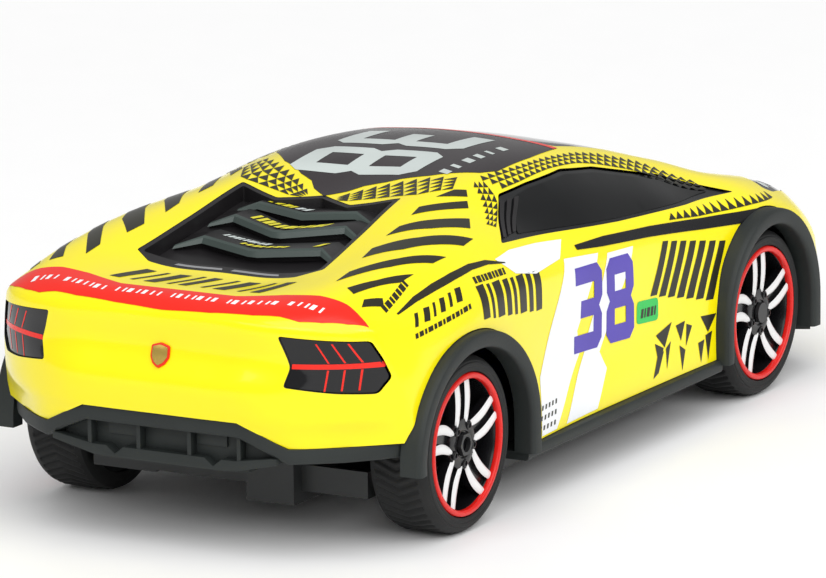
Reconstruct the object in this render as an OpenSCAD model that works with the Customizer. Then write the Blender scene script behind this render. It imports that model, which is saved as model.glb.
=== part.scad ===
// Remote control road car: printed body shell on a rear-driven, front-steered plastic chassis.
// Frame: X forward, Y to the left, Z up, millimetres. The tyres stand on z = 0.

/* [Wheels] */
// Distance between the front and rear axles
wheelbase = 170; // [168:1:171]
// Radius of the tyres
tyre_r = 23.2; // [22.8:0.1:23.4]
// Width of the tyres
tyre_w = 17; // [16:0.5:17]
// Distance from the centre plane to the outer face of a tyre
track_half = 60; // [59.5:0.5:60.5]
// Radius of the wheel rims
rim_r = 18.5; // [18:0.1:18.8]

/* [Body] */
// Wall thickness of the body shell
wall = 1.6; // [1.4:0.1:2]
// Distance from the centre plane to the outer face of the wheel-arch flares
flare_y = 63.5; // [63:0.5:64]
// Width of the wheel-arch flares, seen from the side
flare_w = 4.5; // [4:0.5:5]
// Height of the bottom edge of the painted body at the doors
door_z = 16; // [15:0.5:17]

/* [Steering] */
// Distance from the centre plane to each kingpin
kingpin_y = 38; // [37.5:0.5:38]
// Length of the steering arms and of the servo horn
arm_len = 12; // [11:0.5:12]

/* [Gear train] */
// Teeth on the gear of the rear axle
axle_teeth = 32; // [32:1:32]
// Teeth on the small step of the idler gear
idler_small_teeth = 12; // [12:1:12]
// Teeth on the large step of the idler gear
idler_large_teeth = 36; // [36:1:36]
// Teeth on the motor pinion
pinion_teeth = 10; // [10:1:10]

/* [Hidden] */
$fn = 48;

eps = 0.01;
gap = 0.3;
rear_x = -4 - wheelbase / 2;
front_x = rear_x + wheelbase;
axle_z = tyre_r;
ring_r = rim_r + 0.1;
axle_r = 2;
stub_r = 1.5;
run_fit = 0.06;
floor_z = 8;
floor_t = 2;

// Gear train along the centre height of the rear axle
fine_m = 0.6;
coarse_m = 0.8;
idler_x = rear_x + coarse_m * (axle_teeth + idler_small_teeth) / 2;
motor_x = idler_x + fine_m * (idler_large_teeth + pinion_teeth) / 2;
motor_r = 10;
coarse_gear_y = -18;
fine_gear_y = -13;
gear_w = 4;

// ---- Body surface -------------------------------------------------------------------------
// Control points of the left half of the upper surface, from the tail lip to the nose tip.
// Each station runs from the centre plane out to the shoulder line.
upper_net = [
  [[-141, 0, 62.3], [-141.5, 16, 62.3], [-141, 30, 61.5],
   [-138, 41, 61.3], [-133.5, 49, 61.2], [-128, 54, 61]],
  [[-133, 0, 66], [-133, 15, 66], [-133, 28, 66],
   [-130, 40, 66], [-126, 48, 65], [-122, 55, 61.5]],
  [[-110, 0, 66.5], [-110, 15, 66.5], [-110, 28, 68.5],
   [-110, 40, 70], [-110, 49, 68], [-110, 57.5, 60]],
  [[-84, 0, 72], [-84, 15, 72], [-84, 28, 73.5],
   [-84, 40, 73.5], [-84, 49, 70.5], [-84, 59, 61]],
  [[-58, 0, 76.5], [-58, 15, 77.5], [-58, 27, 78.5],
   [-58, 38, 75.5], [-58, 48, 70.5], [-58, 57.5, 60]],
  [[-29, 0, 82], [-29, 15, 82], [-29, 30, 80.5],
   [-29, 41, 75.5], [-29, 48, 67], [-29, 56, 58]],
  [[1, 0, 82.5], [1, 15, 82], [1, 30, 80],
   [1, 41, 75], [1, 49, 66], [1, 55, 57]],
  [[34, 0, 77.5], [34, 15, 77], [34, 30, 75.8],
   [31, 38, 73], [34, 48.5, 64], [34, 54.5, 56]],
  [[64, 0, 68], [64, 15, 67.5], [62, 30, 67.8],
   [60, 38, 67.4], [60, 47.5, 60.5], [60, 56, 55]],
  [[86, 0, 60], [86, 15, 60], [86, 28, 60],
   [84, 39, 60.5], [84, 48, 59], [84, 58.5, 54]],
  [[108, 0, 52], [108, 15, 52], [108, 28, 53],
   [108, 40, 54.5], [108, 48, 53.5], [104, 58, 48.5]],
  [[130, 0, 43], [129, 15, 43], [127, 28, 44],
   [123, 39, 46.5], [120, 47, 48], [115, 57, 43]],
  [[143, 0, 33], [142, 15, 33], [139, 28, 33.5],
   [134, 39, 36], [129, 48, 40], [120, 57, 37]]
];
// Control points below the shoulder line at the same stations, from the shoulder down
side_net = [
  [[-125.5, 56.5, 53], [-123, 58.5, 45], [-120, 60, 37.5], [-117.5, 61, 30.3], [-116, 61, 8]],
  [[-119, 57.5, 54], [-117.5, 59.5, 46], [-116, 60.5, 38], [-115, 61, 30], [-114, 61, 8]],
  [[-108, 59.5, 53], [-107, 60.5, 46], [-106, 61, 38], [-105, 61, 28], [-104, 61, 8]],
  [[-84, 60.5, 54], [-84, 61, 47], [-84, 61, 38], [-84, 61, 26], [-84, 61, 8]],
  [[-58, 58.5, 52], [-58, 59, 44], [-58, 59.5, 34], [-58, 60, 22], [-58, 60, 8]],
  [[-29, 56.5, 49], [-29, 56.5, 39], [-29, 57, 29], [-29, 58.5, 19], [-29, 59.5, 8]],
  [[1, 56, 48], [1, 56.5, 38], [1, 57, 29], [1, 58.5, 19], [1, 59.5, 8]],
  [[34, 56, 48], [34, 57, 39], [34, 58, 30], [34, 59, 19], [34, 60, 8]],
  [[60, 58, 48], [60, 59, 40], [60, 60, 32], [60, 60, 20], [60, 60, 8]],
  [[84, 60, 48], [84, 60.5, 41], [84, 60.5, 33], [84, 60.5, 20], [84, 60.5, 8]],
  [[104, 59.5, 43], [104, 60, 37], [104, 60.5, 30], [104, 60.5, 20], [104, 60.5, 8]],
  [[114, 58.5, 38], [113.5, 59.5, 33], [113, 60.5, 27], [112.5, 60.5, 19], [112, 60.5, 8]],
  [[119.5, 57.5, 32], [119, 58.5, 28], [118, 59.5, 24], [117, 60, 16], [116, 60, 8]]
];
// Tail face rows between the lip and the bottom edge, from the centre plane outwards
tail_net = [
  [[-140, 0, 53], [-140, 15, 53], [-140, 28, 53], [-137, 40.5, 53], [-132, 50, 53]],
  [[-143, 0, 45], [-143, 15, 45], [-142.5, 28, 45], [-138, 40, 45], [-131.5, 50, 45]],
  [[-142.5, 0, 38], [-142.5, 15, 38], [-142, 28, 38], [-138.5, 39, 38], [-131, 50, 38]],
  [[-141, 0, 30.5], [-141, 15, 30.5], [-140, 28, 30.5], [-137, 38, 30.5], [-128.5, 49, 30.5]],
  [[-138, 0, 8], [-138, 15, 8], [-137, 28, 8], [-134, 38, 8], [-126, 49, 8]]
];
// Nose face rows, from the centre plane outwards
nose_net = [
  [[143, 0, 29], [142, 15, 29], [139.5, 28, 29], [135, 39, 30], [128.5, 49, 32]],
  [[142, 0, 25], [141, 15, 25], [138.5, 28, 25], [134, 39, 26], [128, 49, 27]],
  [[141, 0, 21], [140, 15, 21], [137.5, 28, 21], [133, 39, 22], [127, 49, 23]],
  [[140, 0, 15.5], [139, 15, 15.5], [136.5, 28, 15.5], [132, 39, 15.5], [126, 49, 15.5]],
  [[138, 0, 8], [137, 15, 8], [134.5, 28, 8], [130, 39, 8], [124, 49, 8]]
];

// Catmull-Rom curve through b and c at parameter t
function spline(a, b, c, d, t) =
  0.5 * (2 * b + (c - a) * t + (2 * a - 5 * b + 4 * c - d) * t * t
         + (3 * b - a - 3 * c + d) * t * t * t);
function mirrored(p) = [p[0], -p[1], p[2]];
function before(list, i) = i > 0 ? list[i - 1] : 2 * list[0] - list[1];
function after(list, i) = i + 2 < len(list) ? list[i + 2] : 2 * list[i + 1] - list[i];
// Points of the curve through a list, n to each span
function through(list, n) = concat(
  [for (i = [0:len(list) - 2], k = [0:n - 1])
    spline(before(list, i), list[i], list[i + 1], after(list, i), k / n)],
  [list[len(list) - 1]]
);
function column(net, j) = [for (row = net) row[j]];
function flip(net) = [for (j = [0:len(net[0]) - 1]) column(net, j)];
// Grid of points through a net, n points to a span one way and m the other
function grid_of(net, n, m) =
  let (long = flip([for (j = [0:len(net[0]) - 1]) through(column(net, j), n)]))
  [for (row = long) through(row, m)];
// A net that starts on the centre plane, widened to both sides of it
function widen(net) = [for (row = net)
  concat([for (j = [len(row) - 1:-1:1]) mirrored(row[j])], row)];
function faces(rows, cols, from, turn) = [for (i = [0:rows - 2], j = [0:cols - 2], half = [0, 1])
  let (a = from + i * cols + j, b = a + 1, c = a + cols, d = c + 1,
       tri = half == 0 ? [a, b, d] : [a, d, c])
  turn ? [tri[2], tri[1], tri[0]] : tri];
function flat(grid) = [for (row = grid, p = row) p];

side_full = [for (i = [0:len(upper_net) - 1]) concat([upper_net[i][5]], side_net[i])];
tail_full = concat([upper_net[0]], [for (r = [0:4]) concat(tail_net[r], [side_net[0][r]])]);
nose_full = concat([upper_net[12]], [for (r = [0:4]) concat(nose_net[r], [side_net[12][r]])]);
long_n = 3;
cross_n = 2;
top_grid = grid_of(widen(upper_net), long_n, cross_n);
tail_grid = grid_of(widen(tail_full), cross_n, cross_n);
nose_grid = grid_of(widen(nose_full), cross_n, cross_n);
left_grid = grid_of(side_full, long_n, cross_n);
right_grid = [for (row = left_grid) [for (p = row) mirrored(p)]];
last_row = 10;
bottom_loop = concat(
  [for (p = tail_grid[last_row]) p],
  [for (i = [1:len(left_grid) - 1]) left_grid[i][last_row]],
  [for (j = [len(nose_grid[0]) - 2:-1:0]) nose_grid[last_row][j]],
  [for (i = [len(right_grid) - 2:-1:1]) right_grid[i][last_row]]
);

// The body as one solid block down to its flat underside
module body_block() {
  grids = [top_grid, tail_grid, left_grid, nose_grid, right_grid];
  turns = [false, true, false, false, true];
  sizes = [for (g = grids) len(g) * len(g[0])];
  starts = [0, sizes[0], sizes[0] + sizes[1], sizes[0] + sizes[1] + sizes[2],
            sizes[0] + sizes[1] + sizes[2] + sizes[3]];
  loop_from = starts[4] + sizes[4];
  polyhedron(
    points = concat([for (g = grids) each flat(g)], bottom_loop),
    faces = concat(
      [for (k = [0:4]) each faces(len(grids[k]), len(grids[k][0]), starts[k], turns[k])],
      [[for (i = [len(bottom_loop) - 1:-1:0]) loop_from + i]]
    )
  );
}

// The body shrunk by a distance inwards, open downwards
module body_inside(d) {
  translate([0, 0, -d]) scale([1 - d / 143, 1 - d / 60, 1]) body_block();
}

// ---- Outlines -----------------------------------------------------------------------------
// Half ellipse over an axle with straight legs down to below the car
function arch(x, a, top, inset) = concat(
  [[x + a - inset, -10]],
  [for (t = [0:12:180]) [x + (a - inset) * cos(t), axle_z + (top - axle_z - inset) * sin(t)]],
  [[x - a + inset, -10]]
);
rear_arch_x = -88;
rear_arch_a = 32.5;
front_arch_a = 29;
arch_top = 52.6;

// Side windows, seen from the side
window_line = [[-53, 67.8], [-34.5, 76.4], [-20, 76.8], [1, 76.6], [18, 74.2], [50, 66.5], [77, 57.5],
  [50, 58.8], [10, 61.8], [-30, 65.6]];
// Windscreen, seen from above
screen_line = [[17, -28], [17, 0], [17, 28], [36, 31], [62, 33.5], [78, 33], [84, 20], [85, 0],
  [84, -20], [78, -33], [62, -33.5], [36, -31]];
// Opening over the engine bay, seen from above
bay_line = [[-58.6, -23.9], [-63, -11], [-57, 0], [-63, 11], [-58.6, 23.9], [-106, 27.7],
  [-110.3, 21.7], [-111, 0], [-110.3, -21.7], [-106, -27.7]];
// Left tail lamp, seen from behind: [y, z]
tail_lamp_line = [[33.6, 59.3], [36.5, 51.3], [35.1, 46.3], [47, 44.6], [55, 44], [57.5, 48], [56, 53],
  [54, 57.8]];
// Left headlamp, seen from above
headlamp_line = [[104, 40], [118, 36], [124, 38], [122, 44], [112, 50], [100, 53], [96, 52], [98, 45]];

// Prism of an outline made of wedges that fan out from its middle, with rounded corners
module fan_prism(outline, h, r = 0.6) {
  n = len(outline);
  mid = [for (k = [0:1]) let (v = [for (p = outline) p[k]]) (min(v) + max(v)) / 2];
  for (i = [0:n - 1]) hull() {
    for (p = [outline[i], outline[(i + 1) % n]]) translate(p) cylinder(r = r, h = h, $fn = 16);
    translate(mid) cylinder(r = r, h = h, $fn = 16);
  }
}
// Prism along Y on the left side, drawn in [x, z]
module side_prism(outline, y1, y2, r = 0.6) {
  translate([0, y2, 0]) rotate([90, 0, 0]) fan_prism(outline, y2 - y1, r);
}
// Prism from the tail forwards, drawn in [y, z]
module tail_prism(outline, x1, x2, r = 0.6) {
  translate([x1, 0, 0]) rotate([90, 0, 90]) fan_prism(outline, x2 - x1, r);
}
// Skin of the body between two depths below its surface
module skin(d1, d2) {
  difference() {
    body_inside(d1);
    body_inside(d2);
  }
}
module both() {
  children();
  mirror([0, 1, 0]) children();
}

// ---- Body parts ---------------------------------------------------------------------------
post_places = [[-46, 44.6], [36, 44.6]];
module body_shell() color("gold") {
  difference() {
    skin(0, wall);
    translate([0, 0, 40]) fan_prism(screen_line, 60);
    translate([0, 0, 58]) fan_prism(bay_line, 30);
    both() side_prism(window_line, 30, 70);
    both() tail_prism(tail_lamp_line, -150, -112);
    both() translate([0, 0, 40]) fan_prism(headlamp_line, 20);
    both() translate([0, 70, 0]) rotate([90, 0, 0]) linear_extrude(20)
      polygon(arch(rear_arch_x, rear_arch_a, arch_top, -gap));
    both() translate([0, 70, 0]) rotate([90, 0, 0]) linear_extrude(20)
      polygon(arch(front_x, front_arch_a, arch_top, -gap));
    translate([-150, -80, -5]) cube([300, 160, door_z + 5]);
    translate([-150, -80, -5]) cube([34, 160, 35.2]);
    translate([-150, 0, 0]) rotate([90, 0, 90]) linear_extrude(30)
      polygon([[-36, 20], [-36, 30], [-22.7, 36.3], [22.7, 36.3], [36, 30], [36, 20]]);
  }
  both() for (p = post_places) intersection() {
    body_inside(wall / 2);
    translate([p[0], p[1], floor_z + floor_t]) difference() {
      union() {
        cylinder(r = 3.4, h = 36);
        translate([-1, 0, 13.6]) cube([2, 20, 22.4]);
      }
      translate([0, 0, -1]) cylinder(r = 1.4, h = 24);
    }
  }
}
module windscreen() color("black") intersection() {
  skin(0.3, wall);
  translate([0, 0, 40]) fan_prism(screen_line, 60, 0.3);
}
module side_window(side) {
  mirror([0, side < 0 ? 1 : 0, 0]) intersection() {
    skin(1, wall + 1);
    side_prism(window_line, 30, 70, 0.3);
  }
}
module side_window_left() color("black") side_window(1);
module side_window_right() color("black") side_window(-1);

louvre_places = [-72, -84, -96];
module engine_cover() color("dimgray") {
  intersection() {
    skin(4, 5.6);
    translate([0, 0, 50]) fan_prism(bay_line, 30, 0.3);
  }
  for (x = louvre_places) both() intersection() {
    body_inside(1.4);
    translate([x, -1, 60]) rotate([0, 0, -8]) hull() {
      translate([0, 0, 0]) cube([8, 22, 1]);
      translate([6, 0, 12]) cube([2, 22, 1]);
    }
  }
}
module tail_lamp() {
  intersection() {
    skin(0.8, 4);
    tail_prism(tail_lamp_line, -150, -119, 0.3);
  }
}
module tail_lamp_left() color("darkred") tail_lamp();
module tail_lamp_right() color("darkred") mirror([0, 1, 0]) tail_lamp();
module headlamp() {
  intersection() {
    skin(0.4, 2.6);
    translate([0, 0, 30]) fan_prism(headlamp_line, 40, 0.3);
  }
}
module headlamp_left() color("whitesmoke") headlamp();
module headlamp_right() color("whitesmoke") mirror([0, 1, 0]) headlamp();
module rear_badge() color("goldenrod")
  translate([-141.3, 0, 51.6]) rotate([0, -72, 0]) cylinder(r = 3, h = 1);

// ---- Black mouldings ----------------------------------------------------------------------
sill_x1 = rear_arch_x + rear_arch_a;
sill_x2 = front_x - front_arch_a;
sill_len = sill_x2 + 1 - sill_x1 + flare_w;
module flare(x, a, foot) {
  translate([0, flare_y, 0]) rotate([90, 0, 0]) linear_extrude(flare_y - 57.5) difference() {
    polygon(arch(x, a, arch_top, 0));
    polygon(arch(x, a, arch_top, flare_w));
    translate([x - a - 5, -15]) square([2 * a + 10, foot + 15]);
  }
}
module side_skirt() {
  difference() {
    union() {
      flare(rear_arch_x, rear_arch_a, 14.5);
      flare(front_x, front_arch_a, 14.5);
      translate([sill_x1 - flare_w, 51, 12.3]) cube([sill_len, 9.8, 2.2]);
      translate([sill_x1 - flare_w, 57.5, 12.3]) cube([sill_len, 3.5, 3.4]);
    }
    translate([-130, 50, 0]) cube([20, 20, 21.5]);
  }
}
module side_skirt_left() color("darkslategray") side_skirt();
module side_skirt_right() color("darkslategray") mirror([0, 1, 0]) side_skirt();

// Half outline of the rear valance, seen from above
valance_line = [[-141, 0], [-141, 22], [-138.5, 34], [-133, 42], [-126, 50], [-119, 57.3], [-114, 57.3],
  [-122, 48], [-129, 39], [-134, 31], [-136, 20], [-136, 0]];
module rear_valance() color("darkslategray") both() difference() {
  translate([0, 0, 26.5]) linear_extrude(3.7) polygon(valance_line);
  translate([-150, 0, 0]) rotate([90, 0, 90]) linear_extrude(30)
    polygon([[-1, 20], [-1, 40], [23.5, 40], [23.5, 32], [35, 26.4], [35, 20]]);
}
module rear_diffuser() color("darkslategray") {
  difference() {
    union() {
      translate([-141, -22.3, 32.3]) cube([5, 44.6, 3.8]);
      translate([-136.5, -23.2, 24]) cube([2.2, 46.4, 12]);
      translate([-136.5, -23.2, 22]) cube([14, 46.4, 2]);
      for (y = [-15, 0, 15]) translate([-140, y - 0.7, 24]) cube([4, 1.4, 8.4]);
    }
    for (y = [-15, 0, 15]) translate([-150, y + 5, 20]) rotate([0, 0, 0]) cube([17, 4, 2.8]);
  }
}
module front_splitter() color("darkslategray") difference() {
  translate([0, 0, floor_z + 2.6]) linear_extrude(4.6) polygon([
    [104, -32], [104, 32], [112, 44], [118, 56], [124, 52], [131, 40], [137, 28], [140, 14], [141, 0],
    [140, -14], [137, -28], [131, -40], [124, -52], [118, -56], [112, -44]
  ]);
  translate([0, 0, floor_z + 4.6]) linear_extrude(4) polygon([
    [100, -28], [100, 28], [114, 42], [120, 48], [128, 36], [134, 24], [137, 0],
    [134, -24], [128, -36], [120, -48], [114, -42]
  ]);
}

// ---- Chassis ------------------------------------------------------------------------------
tub_line = [[-72, -36], [-60, -50.5], [42, -50.5], [52, -32], [103.5, -31.5], [103.5, 31.5], [52, 32],
  [42, 50.5], [-60, 50.5], [-72, 36]];
door_hole = [58, 62];
door_x = -18;
switch_at = [34, 22];
trim_at = [57, -22];
module chassis_tub() color("dimgray") difference() {
  union() {
    translate([0, 0, floor_z]) linear_extrude(floor_t) polygon(tub_line);
    translate([0, 0, floor_z]) linear_extrude(15) difference() {
      polygon(tub_line);
      polygon([[-70, -34], [-59, -48.5], [41, -48.5], [51, -30.2], [101.5, -29.8], [101.5, 29.8],
        [51, 30.2], [41, 48.5], [-59, 48.5], [-70, 34]]);
    }
    both() translate([front_x - 3, 28, floor_z]) cube([6, kingpin_y - 28, 4]);
    both() translate([front_x, kingpin_y, floor_z]) cylinder(r = 3, h = 4);
    both() translate([front_x + 14, 20, floor_z]) cylinder(r = 3, h = 28);
    both() translate([front_x - 5.8, 26, floor_z]) cylinder(r = 3, h = 28);
  }
  both() translate([front_x, kingpin_y, 0]) cylinder(r = stub_r + run_fit, h = 20);
  both() for (p = post_places) translate([p[0], p[1], 0]) cylinder(r = 1.6, h = 12);
  both() translate([-66, 24, 0]) cylinder(r = 1.6, h = 30);
  translate([door_x - door_hole[0] / 2, -door_hole[1] / 2, 0]) cube([door_hole[0], door_hole[1], 12]);
  translate([switch_at[0] - 5.5, switch_at[1] - 2, 0]) cube([11, 4, 12]);
  translate([trim_at[0], trim_at[1], 0]) cylinder(r = 2 + run_fit, h = 12);
  both() translate([-64, 43, 0]) rotate([0, 0, 50]) cube([40, 6, 4], center = true);
  for (x = [-52, 46]) translate([x, 0, 0]) cylinder(r = 1.6, h = 12);
  translate([-80, -21.8, 0]) cube([28.3, 14.6, 40]);
  translate([-80, -29.5, floor_z + floor_t]) cube([28.3, 59, 40]);
}
module battery_door() color("dimgray") {
  translate([door_x - door_hole[0] / 2 + 6.6, -door_hole[1] / 2 + gap, floor_z])
    cube([door_hole[0] - 7.2, door_hole[1] - 2 * gap, 1.6]);
  for (x = [door_x + 16, door_x + 19, door_x + 22])
    translate([x, -12, floor_z - 0.8]) cube([1, 24, 0.8 + eps]);
}
cell_r = 7;
cell_pitch = 2 * cell_r + 0.4;
module battery_pack() color("royalblue") {
  for (k = [-1.5, -0.5, 0.5, 1.5])
    translate([door_x - 25, k * cell_pitch, 10.4 + cell_r]) rotate([0, 90, 0]) {
      cylinder(r = cell_r, h = 48.5);
      cylinder(r = 2.7, h = 50);
    }
  translate([door_x - 20, -2 * cell_pitch + 3, 8.9 + 2 * cell_r])
    cube([38, 4 * cell_pitch - 6, 2.2]);
}

case_x = -112;
case_len = 60;
case_top = 38;
module gearbox_case() color("dimgray") difference() {
  union() {
    translate([case_x, -21.5, floor_z]) cube([case_len, 14, case_top - floor_z]);
    translate([case_x + 4, -8, 11.5]) cube([case_len - 4, 30, case_top - 11.5]);
    both() translate([-72, 20, 10.3]) cube([12, 9, 5.5]);
    translate([case_x + 4, 22 - eps, 11]) cube([20, 19, 7]);
    translate([case_x + 4, -41, 11]) cube([20, 20, 7]);
  }
  translate([case_x + 1.6, -20, floor_z + 1.4]) cube([case_len - 3.2, 11, 30]);
  translate([case_x + 5.6, -10, 13]) cube([case_len - 5, 30.6, 30]);
  translate([case_x + 5.6, 20, 12.4]) cube([16.8, 19.6, 20]);
  translate([case_x + 5.6, -39.6, 12.4]) cube([16.8, 18, 20]);
  translate([rear_x, -60, axle_z]) rotate([-90, 0, 0]) cylinder(r = 4, h = 120);
  translate([idler_x, -30, axle_z]) rotate([-90, 0, 0]) cylinder(r = 1.5, h = 40);
  both() translate([-66, 24, 0]) cylinder(r = 1.3, h = 30);
}
module gearbox_cover() color("dimgray") {
  translate([case_x, -21.5, case_top + gap]) cube([case_len, 14, 1.6]);
  translate([case_x + 4, -7.6, case_top + gap]) cube([case_len - 4, 29.6, 1.6]);
}
module axle_bushes() color("peru") for (y = [-21.7, 22])
  translate([rear_x, y, axle_z]) rotate([90, 0, 0]) difference() {
    cylinder(r = 3.95, h = 3, center = true);
    cylinder(r = axle_r + run_fit, h = 4, center = true);
  }
module idler_pin() color("silver")
  translate([idler_x, -21.4, axle_z]) rotate([-90, 0, 0]) cylinder(r = 1.45, h = 13.5);
module motor_can() color("silver") difference() {
  translate([motor_x, -8, axle_z]) rotate([-90, 0, 0]) union() {
    cylinder(r = motor_r, h = 27);
    translate([0, 0, 26]) cylinder(r = 3, h = 2.4);
  }
  translate([motor_x, -9, axle_z]) rotate([-90, 0, 0]) cylinder(r = 1.06, h = 10);
  for (s = [-1, 1]) translate([motor_x - 20, -12, axle_z + s * 12.6 - 5]) cube([40, 45, 10]);
}
module front_top_plate() color("dimgray") difference() {
  union() {
    translate([front_x - 14, -30, 36.3]) cube([32, 60, 2]);
    both() translate([front_x - 3, 28, 36.3]) cube([6, kingpin_y - 28, 2]);
    both() translate([front_x, kingpin_y, 36.3]) cylinder(r = 3, h = 2);
  }
  both() translate([front_x, kingpin_y, 30]) cylinder(r = stub_r + run_fit, h = 20);
}
horn_x = front_x - 2 * arm_len;
rod_x = front_x - arm_len;
rod_z = 30;
module servo_case() color("dimgray") difference() {
  translate([horn_x - 11, -10, 10.3]) cube([20, 20, 18.7]);
  translate([horn_x, 0, 20]) cylinder(r = 2 + run_fit, h = 20);
}

board_z = 30;
module circuit_board() color("darkgreen") difference() {
  translate([-12, -32, board_z]) cube([44, 64, 1.6]);
  for (x = [-9, 29]) both() translate([x, 29, board_z - 1]) cylinder(r = 1.5, h = 4);
}
module board_parts() color("black") {
  translate([-4, -10, board_z + 1.6]) cube([10, 18, 3]);
  translate([14, -24, board_z + 1.6]) cube([8, 10, 4]);
  translate([24, 14, board_z + 1.6]) cylinder(r = 3, h = 9);
  translate([16, 20, board_z + 1.6]) cylinder(r = 2.5, h = 7);
  for (y = [-4, 2, 8]) translate([10, y, board_z + 1.6]) cube([3, 3, 2]);
}
module front_leds() color("white") both()
  translate([114, 30, 15.6]) rotate([0, 90, 0]) {
    cylinder(r = 2.5, h = 6);
    translate([0, 0, -1]) cylinder(r = 3, h = 1.2);
  }

// A thin wire through hand-laid points: one ring of corners at each point, closed at both ends
wire_sides = 8;
function unit(v) = v / norm(v);
function wire_ring(points, i, r) =
  let (last = len(points) - 1,
       dir = unit(points[min(i + 1, last)] - points[max(i - 1, 0)]),
       across = unit(cross(dir, [0, 0, 1])),
       up = cross(across, dir))
  [for (k = [0:wire_sides - 1])
    points[i] + r * (across * cos(360 * k / wire_sides) + up * sin(360 * k / wire_sides))];
module wire(points, r) {
  n = len(points);
  polyhedron(
    points = [for (i = [0:n - 1]) each wire_ring(points, i, r)],
    faces = concat(
      [[for (k = [wire_sides - 1:-1:0]) k]],
      [for (i = [0:n - 2], k = [0:wire_sides - 1])
        let (a = i * wire_sides + k, b = i * wire_sides + (k + 1) % wire_sides)
        [a, b, b + wire_sides, a + wire_sides]],
      [[for (k = [0:wire_sides - 1]) (n - 1) * wire_sides + k]]
    )
  );
}
module battery_lead() color("red")
  wire([[door_x + 26, 12, 20], [door_x + 30, 18, 24], [14, 24, 27], [14, 26, 29.4]], 0.9);
module motor_leads() color("red") {
  wire([[motor_x + 6, 21.3, 26], [-40, 28, 30], [-20, 28, 31], [-12.8, 24, 31]], 0.7);
  wire([[motor_x + 6, 21.3, 21], [-40, 34, 27], [-20, 36, 29], [-10, 33, 31]], 0.7);
}
module antenna_wire() color("black")
  wire([[20, -28, 32.6], [10, -38, 36], [-30, -42, 36], [-56, -34, 40], [-90, -30, 42]], 0.6);

module screw(h) {
  cylinder(r = 2.7, h = 1.4);
  cylinder(r = 1.2, h = h);
}
module body_screws() color("silver") both() for (p = post_places)
  translate([p[0], p[1], floor_z - 1.4]) screw(16);
module gearbox_screws() color("silver") both() translate([-66, 24, floor_z - 1.4]) screw(9);

// ---- Wheels -------------------------------------------------------------------------------
// A wheel part is drawn with its axis along Z, its outer face at z = 0 and its inside below
module place_wheel(x, side) {
  translate([x, side * track_half, axle_z]) rotate([side > 0 ? -90 : 90, 0, 0]) children();
}
module tyre() rotate_extrude($fn = 96) polygon([
  [rim_r, -tyre_w], [21, -tyre_w], [22.6, -tyre_w + 1], [tyre_r, -tyre_w + 3], [tyre_r, -3.4],
  [22.7, -1.4], [21.4, -0.2], [19.6, 0], [ring_r + 0.2, -0.3], [ring_r + 0.2, -1.6], [rim_r, -1.6]
]);
module rim(bore) difference() {
  union() {
    rotate_extrude($fn = 96) polygon([
      [rim_r - 1.6, -tyre_w + 0.6], [rim_r, -tyre_w + 0.6], [rim_r, -1.7], [rim_r - 1.6, -1.7]
    ]);
    for (k = [0:4], s = [-1, 1]) rotate([0, 0, 72 * k + 19]) translate([5, s * 2.6 - 1.1, -4.6])
      cube([rim_r - 5.8, 2.2, 2.4]);
    translate([0, 0, -5]) cylinder(r = 7.4, h = 3);
    translate([0, 0, -tyre_w + 2.5]) cylinder(r = 3.4, h = tyre_w - 6);
  }
  translate([0, 0, -tyre_w]) cylinder(r = bore, h = tyre_w + 5);
}
module ring() rotate_extrude($fn = 96) polygon([
  [rim_r - 1.5, -1.5], [ring_r, -1.5], [ring_r, -0.4], [ring_r - 0.5, 0],
  [rim_r - 1.1, 0], [rim_r - 1.5, -0.5]
]);

module rear_axle() color("silver")
  translate([rear_x, -57, axle_z]) rotate([-90, 0, 0]) cylinder(r = axle_r, h = 114);
module rear_wheel_nuts() color("silver") for (s = [-1, 1]) place_wheel(rear_x, s)
  translate([0, 0, -1.8]) difference() {
    cylinder(r = 3.2, h = 1.2, $fn = 6);
    translate([0, 0, -1]) cylinder(r = axle_r, h = 3);
  }
module rear_tyre_left() color("black") place_wheel(rear_x, 1) tyre();
module rear_tyre_right() color("black") place_wheel(rear_x, -1) tyre();
module rear_rim_left() color("gray") place_wheel(rear_x, 1) rim(axle_r);
module rear_rim_right() color("gray") place_wheel(rear_x, -1) rim(axle_r);
module rear_ring_left() color("red") place_wheel(rear_x, 1) ring();
module rear_ring_right() color("red") place_wheel(rear_x, -1) ring();
module front_tyre_left() color("black") place_wheel(front_x, 1) tyre();
module front_tyre_right() color("black") place_wheel(front_x, -1) tyre();
module front_rim_left() color("gray") place_wheel(front_x, 1) rim(stub_r + run_fit);
module front_rim_right() color("gray") place_wheel(front_x, -1) rim(stub_r + run_fit);
module front_ring_left() color("red") place_wheel(front_x, 1) ring();
module front_ring_right() color("red") place_wheel(front_x, -1) ring();
module front_screw() translate([0, 0, -1.7]) cylinder(r = 2.8, h = 1.1);
module front_screw_left() color("silver") place_wheel(front_x, 1) front_screw();
module front_screw_right() color("silver") place_wheel(front_x, -1) front_screw();

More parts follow.
